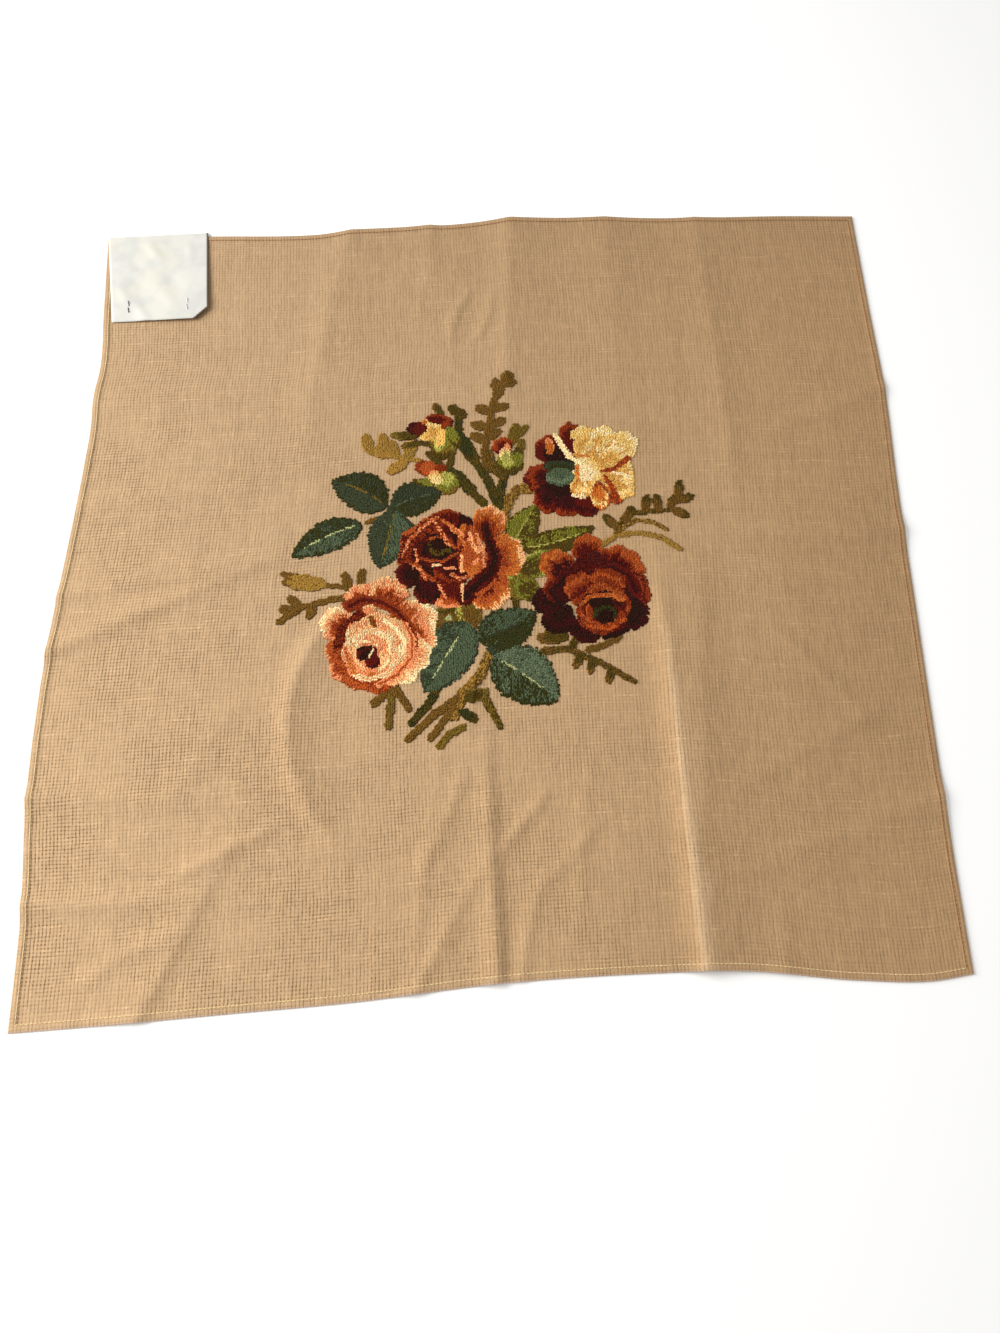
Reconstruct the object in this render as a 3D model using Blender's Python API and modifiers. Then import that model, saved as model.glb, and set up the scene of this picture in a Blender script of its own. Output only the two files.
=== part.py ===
"""Needlepoint canvas panel: a hemmed square of double-thread canvas laid out flat, with a blank card
label stapled over its far left corner. Metres, +X to the right, +Y away, +Z up. The origin is on the
surface that the panel lies on, under the middle of its bounding box."""

import math
from collections import namedtuple

import bmesh
import bpy
import numpy as np

# The tables below are measured from the crossing of the folding lines; this moves it over the origin.
ORIGIN_SHIFT = (0.0002, 0.0004, 0.0)

# Cloth
SHEET = 0.0012  # thickness of the stiffened canvas
HEM_WIDTH = 0.006  # turned edge, two extra layers
HEM_THICKNESS = 0.0022
HEM_STEP = 0.002  # width over which the hem drops to the single layer
CELLS_ACROSS = 46  # cells of the canvas mesh between the two hems
CELLS_DEEP = 44

# Label and staples
CARD = 0.0010
GAP = 0.0003  # kept between pieces
LABEL_LIFT = 0.0022  # how far the label's free corner stands off the canvas
LABEL_CELLS = 10
LIP_RADIUS = 0.0016  # fold of the card over the far edge
LIP_STEPS = 4
STAPLE_WIRE = 0.0006
STAPLE_CROWN = 0.012
STAPLE_LEG_RISE = 0.0005  # the clinched tips stand a little higher than their roots

Place = namedtuple("Place", "x y")
Fold = namedtuple("Fold", "x_near y_near x_far y_far rise_near rise_far left right bow")

# The hemmed edges as they lie, in metres, each from its near or left end to its other end.
NEAR_EDGE = [
    Place(-0.3280, -0.3295),
    Place(-0.2490, -0.3260),
    Place(-0.1860, -0.3225),
    Place(-0.1000, -0.3180),
    Place(0.0000, -0.3095),
    Place(0.0940, -0.3065),
    Place(0.1700, -0.3075),
    Place(0.2450, -0.3160),
    Place(0.2950, -0.3180),
    Place(0.3220, -0.3145),
]
FAR_EDGE = [
    Place(-0.3175, 0.3185),
    Place(-0.2320, 0.3190),
    Place(-0.1400, 0.3175),
    Place(-0.0950, 0.3210),
    Place(-0.0420, 0.3240),
    Place(-0.0200, 0.3245),
    Place(0.0200, 0.3280),
    Place(0.0800, 0.3285),
    Place(0.1900, 0.3245),
    Place(0.2640, 0.3240),
    Place(0.3320, 0.3215),
]
LEFT_EDGE = [
    Place(-0.3280, -0.3295),
    Place(-0.3285, -0.2500),
    Place(-0.3335, -0.1800),
    Place(-0.3335, -0.1050),
    Place(-0.3300, -0.0400),
    Place(-0.3240, 0.0250),
    Place(-0.3185, 0.0900),
    Place(-0.3160, 0.1300),
    Place(-0.3163, 0.1620),
    Place(-0.3135, 0.1860),
    Place(-0.3152, 0.2400),
    Place(-0.3180, 0.3185),
]
RIGHT_EDGE = [
    Place(0.3220, -0.3145),
    Place(0.3225, -0.2400),
    Place(0.3245, -0.1400),
    Place(0.3270, -0.0500),
    Place(0.3300, 0.0600),
    Place(0.3335, 0.1400),
    Place(0.3325, 0.2300),
    Place(0.3320, 0.3215),
]

# Raised folds of the lying cloth. Each runs from its near or left end to its far or right end, and its
# rise dies away at both ends. Left and right are the widths of its flanks, seen along it; bow is how
# far its middle strays to the left.
FOLDS = [
    Fold(-0.150, 0.050, -0.080, 0.420, 0.0016, 0.0034, 0.030, 0.065, 0.010),  # far left swell
    Fold(-0.036, 0.230, -0.040, 0.420, 0.0006, 0.0024, 0.030, 0.012, 0.0),  # shoulder by the notch
    Fold(0.018, 0.080, 0.036, 0.420, 0.0022, 0.0040, 0.030, 0.060, 0.0),  # far middle ridge
    Fold(0.116, 0.060, 0.114, 0.420, 0.0008, 0.0022, 0.045, 0.040, 0.0),  # far right ridge
    Fold(0.202, 0.000, 0.190, 0.420, 0.0026, 0.0016, 0.030, 0.044, 0.0),  # far right swell
    Fold(-0.420, -0.100, -0.120, 0.028, 0.0036, 0.0012, 0.022, 0.012, 0.0),  # left diagonal
    Fold(-0.420, -0.030, -0.100, 0.015, 0.0022, 0.0010, 0.016, 0.010, 0.0),  # upper left diagonal
    Fold(-0.091, -0.235, -0.091, -0.010, 0.0036, 0.0042, 0.020, 0.044, 0.058),  # left curved ridge
    Fold(-0.275, -0.390, -0.165, -0.170, 0.0036, 0.0012, 0.036, 0.014, 0.0),  # near left diagonal
    Fold(0.001, -0.440, -0.004, -0.090, 0.0066, 0.0020, 0.020, 0.011, 0.0),  # near middle crease
    Fold(-0.078, -0.350, 0.002, -0.210, 0.0034, 0.0010, 0.016, 0.016, 0.0),  # its side crease
    Fold(0.143, -0.430, 0.131, 0.060, 0.0068, 0.0042, 0.020, 0.070, 0.0),  # near right ridge
    Fold(0.100, -0.262, 0.440, -0.155, 0.0014, 0.0024, 0.022, 0.050, 0.0),  # right lower swell
    Fold(0.186, -0.420, 0.202, -0.230, 0.0042, 0.0006, 0.034, 0.030, 0.0),  # near right wave
    Fold(0.140, 0.020, 0.440, 0.018, 0.0016, 0.0028, 0.020, 0.028, 0.0),  # right folding line
    Fold(0.200, 0.096, 0.430, 0.184, 0.0008, 0.0026, 0.016, 0.018, 0.0),  # right upper crease
]

# Corners of the label's face where the card is folded and cut.
LABEL_FAR_LEFT = Place(-0.3170, 0.3182)
LABEL_FAR_RIGHT = Place(-0.2312, 0.3208)
LABEL_NEAR_LEFT = Place(-0.3068, 0.2316)
LABEL_NEAR_RIGHT = Place(-0.2254, 0.2322)
LABEL_CLIP = 0.0115  # length cut from each side of its near right corner
STAPLES = {"staple_left": Place(-0.2921, 0.2462), "staple_right": Place(-0.2430, 0.2462)}

TAN = (0.49, 0.33, 0.18, 1.0)
OFF_WHITE = (0.80, 0.78, 0.70, 1.0)
STEEL_DARK = (0.10, 0.10, 0.11, 1.0)


def clear_scene():
    for old in list(bpy.data.objects):
        bpy.data.objects.remove(old, do_unlink=True)


def material(name, colour, roughness, metallic=0.0):
    made = bpy.data.materials.new(name)
    made.use_nodes = True
    shader = made.node_tree.nodes["Principled BSDF"]
    shader.inputs["Base Color"].default_value = colour
    shader.inputs["Roughness"].default_value = roughness
    shader.inputs["Metallic"].default_value = metallic
    return made


def along_edge(edge, share):
    """The place at this share (0 to 1) of an edge's length, on a smooth line through its places."""
    x, y = np.array(edge).T
    steps = np.hypot(np.diff(x), np.diff(y))
    at = np.concatenate([[0.0], np.cumsum(steps)]) / steps.sum()
    slope_x, slope_y = np.gradient(x, at), np.gradient(y, at)
    i = min(max(int(np.searchsorted(at, share, side="right")) - 1, 0), len(at) - 2)
    span = at[i + 1] - at[i]
    t = (share - at[i]) / span
    start, end = 2 * t**3 - 3 * t**2 + 1, 3 * t**2 - 2 * t**3
    leave, arrive = (t**3 - 2 * t**2 + t) * span, (t**3 - t**2) * span
    return Place(
        start * x[i] + end * x[i + 1] + leave * slope_x[i] + arrive * slope_x[i + 1],
        start * y[i] + end * y[i + 1] + leave * slope_y[i] + arrive * slope_y[i + 1],
    )


def lie(across, deep):
    """Where a point of the cut cloth lies; across and deep run from 0 to 1 over its width and depth."""
    near, far = along_edge(NEAR_EDGE, across), along_edge(FAR_EDGE, across)
    left, right = along_edge(LEFT_EDGE, deep), along_edge(RIGHT_EDGE, deep)
    corners = (
        (NEAR_EDGE[0], (1 - across) * (1 - deep)),
        (NEAR_EDGE[-1], across * (1 - deep)),
        (FAR_EDGE[0], (1 - across) * deep),
        (FAR_EDGE[-1], across * deep),
    )
    point = []
    for axis in (0, 1):
        between_sides = (1 - across) * left[axis] + across * right[axis]
        between_ends = (1 - deep) * near[axis] + deep * far[axis]
        plain = sum(corner[axis] * weight for corner, weight in corners)
        point.append(between_sides + between_ends - plain)
    return Place(*point)


def soft_step(value):
    value = min(max(value, 0.0), 1.0)
    return value * value * (3 - 2 * value)


def fold_rise(fold, x, y):
    run_x, run_y = fold.x_far - fold.x_near, fold.y_far - fold.y_near
    length = math.hypot(run_x, run_y)
    run_x, run_y = run_x / length, run_y / length
    share = ((x - fold.x_near) * run_x + (y - fold.y_near) * run_y) / length
    if not 0 < share < 1:
        return 0.0
    aside = (y - fold.y_near) * run_x - (x - fold.x_near) * run_y - 4 * fold.bow * share * (1 - share)
    flank = fold.left if aside > 0 else fold.right
    if abs(aside) > flank:
        return 0.0
    rise = fold.rise_near + (fold.rise_far - fold.rise_near) * share
    ends = soft_step(share / 0.3) * soft_step((1 - share) / 0.3)
    return rise * ends * (1 - abs(aside) / flank) ** 2


def ground(x, y):
    """Height of the underside of the cloth over the surface."""
    return sum(fold_rise(fold, x, y) for fold in FOLDS)


def stations(size, cells):
    """Shares of a side at which the canvas mesh has its lines: both hem lines and an even field."""
    hem, step = HEM_WIDTH / size, HEM_STEP / size
    inner = [hem + step + (1 - 2 * hem - 2 * step) * i / cells for i in range(cells + 1)]
    return [0.0, hem, *inner, 1 - hem, 1.0]


def add_piece(name, data, finish, holder):
    """Links an object beside its holder, the empty that all the pieces are placed by."""
    data.materials.append(finish)
    made = bpy.data.objects.new(name, data)
    made.parent = holder
    holder.users_collection[0].objects.link(made)
    return made


def add_mesh(name, form, finish, holder):
    mesh = bpy.data.meshes.new(name)
    form.to_mesh(mesh)
    form.free()
    mesh.shade_smooth()
    return add_piece(name, mesh, finish, holder)


def solidify(thing, thickness):
    """Gives an open sheet its thickness above the side that it lies on."""
    shell = thing.modifiers.new("thickness", "SOLIDIFY")
    shell.thickness = thickness
    shell.offset = 1.0
    shell.use_even_offset = False
    return shell


def make_canvas(holder):
    width = math.dist(NEAR_EDGE[0], NEAR_EDGE[-1])
    depth = math.dist(LEFT_EDGE[0], LEFT_EDGE[-1])
    columns = stations(width, CELLS_ACROSS)
    rows = stations(depth, CELLS_DEEP)
    form = bmesh.new()
    bmesh.ops.create_grid(form, x_segments=len(columns) - 1, y_segments=len(rows) - 1, size=1.0)
    hemmed = []
    for vertex in form.verts:
        column = round((vertex.co.x + 1) / 2 * (len(columns) - 1))
        row = round((vertex.co.y + 1) / 2 * (len(rows) - 1))
        place = lie(columns[column], rows[row])
        vertex.co = (place.x, place.y, ground(place.x, place.y))
        hemmed.append(column in (0, 1, len(columns) - 2, len(columns) - 1)
                      or row in (0, 1, len(rows) - 2, len(rows) - 1))
    canvas = add_mesh("canvas", form, material("canvas_tan", TAN, 0.9), holder)
    layers = canvas.vertex_groups.new(name="layers")
    for index, is_hem in enumerate(hemmed):
        layers.add([index], 1.0 if is_hem else SHEET / HEM_THICKNESS, "REPLACE")
    solidify(canvas, HEM_THICKNESS).vertex_group = "layers"


def label_place(across, deep):
    """A point of the label's face; across and deep run from 0 to 1 from its near left corner."""
    near_x = LABEL_NEAR_LEFT.x + across * (LABEL_NEAR_RIGHT.x - LABEL_NEAR_LEFT.x)
    near_y = LABEL_NEAR_LEFT.y + across * (LABEL_NEAR_RIGHT.y - LABEL_NEAR_LEFT.y)
    far_x = LABEL_FAR_LEFT.x + across * (LABEL_FAR_RIGHT.x - LABEL_FAR_LEFT.x)
    far_y = LABEL_FAR_LEFT.y + across * (LABEL_FAR_RIGHT.y - LABEL_FAR_LEFT.y)
    x, y = near_x + deep * (far_x - near_x), near_y + deep * (far_y - near_y)
    lift = LABEL_LIFT * soft_step(across) * soft_step(1 - deep)
    return x, y, ground(x, y) + HEM_THICKNESS + GAP + lift


def make_label(holder):
    """The face of the card as a grid, its far rows turned down over the edge of the canvas."""
    rows = LABEL_CELLS + LIP_STEPS + 1
    form = bmesh.new()
    bmesh.ops.create_grid(form, x_segments=LABEL_CELLS, y_segments=rows, size=1.0)
    for vertex in form.verts:
        across = (vertex.co.x + 1) / 2
        row = round((vertex.co.y + 1) / 2 * rows)
        x, y, z = label_place(across, min(row / LABEL_CELLS, 1.0))
        turn = min(max(row - LABEL_CELLS, 0) / LIP_STEPS, 1.0) * math.pi / 2
        y += LIP_RADIUS * math.sin(turn)
        z -= LIP_RADIUS * (1 - math.cos(turn))
        vertex.co = (x, y, z if row < rows else GAP)
    clip_corner(form)
    label = add_mesh("corner_label", form, material("label_card", OFF_WHITE, 0.7), holder)
    solidify(label, CARD)


def clip_corner(form):
    """Cuts the near right corner off the card along a slanting line."""
    x, y, _ = label_place(1.0, 0.0)
    everything = form.verts[:] + form.edges[:] + form.faces[:]
    bmesh.ops.bisect_plane(
        form,
        geom=everything,
        dist=1e-6,
        plane_co=(x - LABEL_CLIP, y, 0),
        plane_no=(1, -1, 0),
        clear_outer=True,
    )
    bmesh.ops.triangulate(form, faces=form.faces)


def staple_height(place):
    """Top of the card under a staple."""
    across = (place.x - LABEL_NEAR_LEFT.x) / (LABEL_NEAR_RIGHT.x - LABEL_NEAR_LEFT.x)
    deep = (place.y - LABEL_NEAR_LEFT.y) / (LABEL_FAR_LEFT.y - LABEL_NEAR_LEFT.y)
    return label_place(across, deep)[2] + CARD


def make_staple(name, place, finish, holder):
    """The side of a staple that shows: two clinched legs that lean towards each other, one wire here."""
    half, base = STAPLE_CROWN / 2, staple_height(place) + GAP + STAPLE_WIRE / 2
    wire = bpy.data.curves.new(name, "CURVE")
    wire.dimensions = "3D"
    wire.bevel_depth = STAPLE_WIRE / 2
    wire.bevel_resolution = 1
    wire.use_fill_caps = True
    route = wire.splines.new("POLY")
    route.points.add(4)
    shares = (-1.0, -0.6, 0.0, 0.6, 1.0)
    for point, share in zip(route.points, shares, strict=True):
        lift = STAPLE_LEG_RISE * (1 - abs(share)) + STAPLE_LEG_RISE
        point.co = (0.0, half * share, lift, 1.0)
    staple = add_piece(name, wire, finish, holder)
    staple.location = (place.x, place.y, base)


def main():
    clear_scene()
    collection = bpy.data.collections.new("needlepoint_canvas_panel")
    bpy.context.scene.collection.children.link(collection)
    panel = bpy.data.objects.new("panel", None)
    panel.location = ORIGIN_SHIFT
    collection.objects.link(panel)
    make_canvas(panel)
    make_label(panel)
    steel = material("staple_steel", STEEL_DARK, 0.4, 1.0)
    for name, place in STAPLES.items():
        make_staple(name, place, steel, panel)


main()
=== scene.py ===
"""The looks of the needlepoint canvas panel: a hemmed square of double-thread canvas with a wool flower
spray worked in long and short stitches, laid out flat, and a blank card label over its far left corner.

Laid out as an add-on and run as a script. Metres, +X to the right, +Y away, +Z up; the places in the
tables of the flower spray are in millimetres."""

import math
from collections import namedtuple

import bmesh
import bpy
import numpy as np
from bpy.props import FloatProperty, FloatVectorProperty, IntProperty, PointerProperty
from mathutils import Matrix


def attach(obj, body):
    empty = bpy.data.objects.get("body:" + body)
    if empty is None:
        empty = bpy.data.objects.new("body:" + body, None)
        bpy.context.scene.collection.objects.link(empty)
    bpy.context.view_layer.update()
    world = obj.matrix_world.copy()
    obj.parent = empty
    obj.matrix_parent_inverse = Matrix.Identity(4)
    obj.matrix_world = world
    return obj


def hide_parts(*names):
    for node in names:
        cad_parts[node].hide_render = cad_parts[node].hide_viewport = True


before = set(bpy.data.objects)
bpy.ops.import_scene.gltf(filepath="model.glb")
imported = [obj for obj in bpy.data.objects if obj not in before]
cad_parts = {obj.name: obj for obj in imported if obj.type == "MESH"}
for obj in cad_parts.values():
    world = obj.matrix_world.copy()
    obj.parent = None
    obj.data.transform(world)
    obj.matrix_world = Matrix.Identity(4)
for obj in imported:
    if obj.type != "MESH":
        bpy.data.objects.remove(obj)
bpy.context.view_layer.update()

bl_info = {
    "name": "Needlepoint canvas panel",
    "version": (1, 0, 0),
    "blender": (4, 5, 0),
    "location": "3D View > Sidebar > Needlepoint",
    "description": "A needlepoint canvas with a worked flower spray, laid out on a pale floor",
    "category": "Object",
}

BODY = "root"
SEED = 41
SCATTER = 0.00022  # how far a stitch strays from its hole
BACK_WIDTH = 0.0017  # of a stitch's crossing strand under the cloth
BACK_HEIGHT = 0.0005

# The cut cloth and its meshes. A mesh is one pair of threads each way, with its crossing at a whole number.
WIDE = 0.650
DEEP = 0.640
MESHES_ACROSS = 257
MESHES_DEEP = 251
CELLS_ACROSS = 202  # cells of the modelled sheet between its hems
CELLS_DEEP = 198
UNDERSIDE = 0.0004  # room left under the cloth for the backs of the stitches

# The lie of the cloth. The tables run from the crossing of the folding lines, and ORIGIN_SHIFT moves
# that over the origin.
ORIGIN_SHIFT = (0.0002, 0.0004)

Place = namedtuple("Place", "x y")
Fold = namedtuple("Fold", "x_near y_near x_far y_far rise_near rise_far left right bow")

# The hemmed edges as they lie, in metres, each from its near or left end to its other end.
NEAR_EDGE = [
    Place(-0.3280, -0.3295),
    Place(-0.2490, -0.3260),
    Place(-0.1860, -0.3225),
    Place(-0.1000, -0.3180),
    Place(0.0000, -0.3095),
    Place(0.0940, -0.3065),
    Place(0.1700, -0.3075),
    Place(0.2450, -0.3160),
    Place(0.2950, -0.3180),
    Place(0.3220, -0.3145),
]
FAR_EDGE = [
    Place(-0.3175, 0.3185),
    Place(-0.2320, 0.3190),
    Place(-0.1400, 0.3175),
    Place(-0.0950, 0.3210),
    Place(-0.0420, 0.3240),
    Place(-0.0200, 0.3245),
    Place(0.0200, 0.3280),
    Place(0.0800, 0.3285),
    Place(0.1900, 0.3245),
    Place(0.2640, 0.3240),
    Place(0.3320, 0.3215),
]
LEFT_EDGE = [
    Place(-0.3280, -0.3295),
    Place(-0.3285, -0.2500),
    Place(-0.3335, -0.1800),
    Place(-0.3335, -0.1050),
    Place(-0.3300, -0.0400),
    Place(-0.3240, 0.0250),
    Place(-0.3185, 0.0900),
    Place(-0.3160, 0.1300),
    Place(-0.3163, 0.1620),
    Place(-0.3135, 0.1860),
    Place(-0.3152, 0.2400),
    Place(-0.3180, 0.3185),
]
RIGHT_EDGE = [
    Place(0.3220, -0.3145),
    Place(0.3225, -0.2400),
    Place(0.3245, -0.1400),
    Place(0.3270, -0.0500),
    Place(0.3300, 0.0600),
    Place(0.3335, 0.1400),
    Place(0.3325, 0.2300),
    Place(0.3320, 0.3215),
]

# Raised folds of the lying cloth. Each runs from its near or left end to its far or right end, and its
# rise dies away at both ends. Left and right are the widths of its flanks, seen along it; bow is how
# far its middle strays to the left.
FOLDS = [
    Fold(-0.150, 0.050, -0.080, 0.420, 0.0016, 0.0034, 0.030, 0.065, 0.010),  # far left swell
    Fold(-0.036, 0.230, -0.040, 0.420, 0.0006, 0.0024, 0.030, 0.012, 0.0),  # shoulder by the notch
    Fold(0.018, 0.080, 0.036, 0.420, 0.0022, 0.0040, 0.030, 0.060, 0.0),  # far middle ridge
    Fold(0.116, 0.060, 0.114, 0.420, 0.0008, 0.0022, 0.045, 0.040, 0.0),  # far right ridge
    Fold(0.202, 0.000, 0.190, 0.420, 0.0026, 0.0016, 0.030, 0.044, 0.0),  # far right swell
    Fold(-0.420, -0.100, -0.120, 0.028, 0.0036, 0.0012, 0.022, 0.012, 0.0),  # left diagonal
    Fold(-0.420, -0.030, -0.100, 0.015, 0.0022, 0.0010, 0.016, 0.010, 0.0),  # upper left diagonal
    Fold(-0.091, -0.235, -0.091, -0.010, 0.0036, 0.0042, 0.020, 0.044, 0.058),  # left curved ridge
    Fold(-0.275, -0.390, -0.165, -0.170, 0.0036, 0.0012, 0.036, 0.014, 0.0),  # near left diagonal
    Fold(0.001, -0.440, -0.004, -0.090, 0.0066, 0.0020, 0.020, 0.011, 0.0),  # near middle crease
    Fold(-0.078, -0.350, 0.002, -0.210, 0.0034, 0.0010, 0.016, 0.016, 0.0),  # its side crease
    Fold(0.143, -0.430, 0.131, 0.060, 0.0068, 0.0042, 0.020, 0.070, 0.0),  # near right ridge
    Fold(0.100, -0.262, 0.440, -0.155, 0.0014, 0.0024, 0.022, 0.050, 0.0),  # right lower swell
    Fold(0.186, -0.420, 0.202, -0.230, 0.0042, 0.0006, 0.034, 0.030, 0.0),  # near right wave
    Fold(0.140, 0.020, 0.440, 0.018, 0.0016, 0.0028, 0.020, 0.028, 0.0),  # right folding line
    Fold(0.200, 0.096, 0.430, 0.184, 0.0008, 0.0026, 0.016, 0.018, 0.0),  # right upper crease
]

# Finer creases, which the stiff sheet keeps from having been folded
CREASES = [
    Fold(0.150, -0.230, 0.164, 0.030, 0.0012, 0.0020, 0.028, 0.030, 0.0),  # beside the near right ridge
    Fold(0.142, -0.420, 0.130, 0.020, 0.0016, 0.0010, 0.008, 0.012, 0.0),  # crest of the near right ridge
    Fold(-0.091, -0.235, -0.091, -0.010, 0.0008, 0.0010, 0.014, 0.022, 0.058),  # crest of the curved ridge
    Fold(-0.420, -0.172, -0.170, -0.182, 0.0034, 0.0020, 0.018, 0.018, 0.004),  # left stripe
    Fold(-0.236, -0.196, -0.172, -0.090, 0.0008, 0.0009, 0.018, 0.018, 0.006),  # its bend
    Fold(-0.420, -0.241, -0.180, -0.246, 0.0034, 0.0020, 0.018, 0.016, -0.004),  # near left stripe
    Fold(-0.240, -0.240, -0.140, -0.190, 0.0024, 0.0022, 0.012, 0.012, 0.0),  # its bend
    Fold(-0.300, -0.310, -0.200, -0.262, 0.0016, 0.0016, 0.014, 0.014, 0.004),  # near left corner
    Fold(-0.002, -0.228, 0.046, -0.172, 0.0022, 0.0018, 0.010, 0.010, 0.0),  # crumple by the middle crease
    Fold(0.010, -0.330, 0.034, -0.222, 0.0020, 0.0016, 0.012, 0.010, 0.0),  # crumple nearer
    Fold(0.022, -0.256, 0.086, -0.192, 0.0016, 0.0012, 0.012, 0.012, 0.0),  # crumple to its right
    Fold(-0.062, -0.260, -0.010, -0.140, 0.0014, 0.0016, 0.014, 0.012, 0.0),  # left of the middle crease
    Fold(-0.020, -0.150, -0.004, -0.060, 0.0016, 0.0014, 0.012, 0.008, 0.0),  # between crease and flowers
    Fold(-0.022, 0.196, 0.002, 0.262, 0.0018, 0.0016, 0.008, 0.008, 0.008),  # far crumple, one side
    Fold(-0.010, 0.196, 0.012, 0.258, 0.0014, 0.0018, 0.008, 0.008, -0.008),  # far crumple, other side
    Fold(-0.330, 0.100, -0.170, 0.112, 0.0014, 0.0012, 0.012, 0.012, 0.0),  # far left stripe
    Fold(-0.340, 0.060, -0.150, 0.072, 0.0014, 0.0012, 0.012, 0.012, 0.0),  # far left stripe, nearer
    Fold(-0.320, 0.150, -0.210, 0.158, 0.0010, 0.0010, 0.010, 0.012, 0.004),  # far left stripe, farther
    Fold(0.160, -0.190, 0.300, -0.120, 0.0010, 0.0014, 0.016, 0.016, 0.0),  # right lower crease
    Fold(0.210, -0.050, 0.290, -0.150, 0.0012, 0.0012, 0.012, 0.012, 0.0),  # right slack
    Fold(-0.060, -0.310, -0.040, -0.160, 0.0008, 0.0010, 0.010, 0.010, 0.0),  # near slack
    Fold(0.050, -0.310, 0.070, -0.150, 0.0008, 0.0010, 0.010, 0.010, 0.0),  # near slack, right
]

# The card label. Its places are the corners of its face, where the card is folded and cut.
LABEL_FAR_LEFT = Place(-0.3170, 0.3182)
LABEL_FAR_RIGHT = Place(-0.2312, 0.3208)
LABEL_NEAR_LEFT = Place(-0.3068, 0.2316)
LABEL_NEAR_RIGHT = Place(-0.2254, 0.2322)
LABEL_SLOPE = (LABEL_FAR_RIGHT.x - LABEL_NEAR_RIGHT.x) / (LABEL_FAR_RIGHT.y - LABEL_NEAR_RIGHT.y)
LABEL_DEEP = 0.091  # from its near edge to its fold
LABEL_GAP = 0.0003  # between the card and the hem under it
LIP_FOOT = 0.0003  # height of its far edge, folded down over the hem
LABEL_LIFT = 0.0022  # how far its free corner stands off the canvas
LABEL_CELLS = 40
LIP_RADIUS = 0.0014
LIP_STEPS = 6
STAPLES = {"staple_left": Place(-0.2921, 0.2462), "staple_right": Place(-0.2430, 0.2462)}
STAPLE_CROWN = 0.012
LEG_STEPS = 8
LEG_CROSS = 0.0005  # how far each clinched leg swings aside of the other
LEG_ROOT = 0.0012  # how deep it starts in the card

# Wools of the flower spray, as red, green and blue from 0 to 255
WOOLS = {
    "black_brown": (44, 17, 8),
    "maroon": (92, 19, 8),
    "wine": (62, 13, 11),
    "russet": (140, 52, 16),
    "rust": (178, 82, 32),
    "burnt_orange": (200, 110, 42),
    "salmon": (236, 148, 96),
    "peach": (246, 188, 128),
    "cream": (249, 224, 170),
    "pale_yellow": (246, 212, 138),
    "yellow": (236, 190, 102),
    "gold": (214, 158, 76),
    "teal_dark": (58, 64, 42),
    "teal": (80, 92, 66),
    "blue_green": (103, 116, 86),
    "forest": (54, 54, 18),
    "olive_dark": (84, 65, 14),
    "olive": (118, 93, 30),
    "olive_gold": (160, 121, 50),
    "leaf_green": (124, 120, 38),
    "light_green": (174, 168, 78),
    "brown_olive": (114, 81, 28),
    "pale_vein": (178, 179, 122),
}
WOOL_NAMES = list(WOOLS)

# Pieces that the stitches are joined into, one for each family of wools
FAMILIES = {
    "wool_dark_reds": ("black_brown", "maroon", "wine"),
    "wool_rusts": ("russet", "rust", "burnt_orange"),
    "wool_pinks": ("salmon", "peach", "cream"),
    "wool_yellows": ("pale_yellow", "yellow", "gold"),
    "wool_teals": ("teal_dark", "teal", "blue_green", "forest"),
    "wool_olives": (
        "olive_dark", "olive", "olive_gold", "leaf_green", "light_green", "brown_olive", "pale_vein",
    ),
}

# The flower spray, in millimetres from the crossing of the folding lines. What comes later lies over
# what comes earlier. A petal's turn is the way that its rim faces, in degrees from +X towards +Y, and its
# tones run from its base to its rim. A leaf's tones are its edge, darker half, lighter half and vein.
Petal = namedtuple("Petal", "x y long wide turn tones")
Leaf = namedtuple("Leaf", "base tip wide bow tones")
Stem = namedtuple("Stem", "route wide_start wide_end tones")
Sprig = namedtuple("Sprig", "route wide leaflets long leaflet_wide tones")  # leaflets: (x, y, turn)

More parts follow.
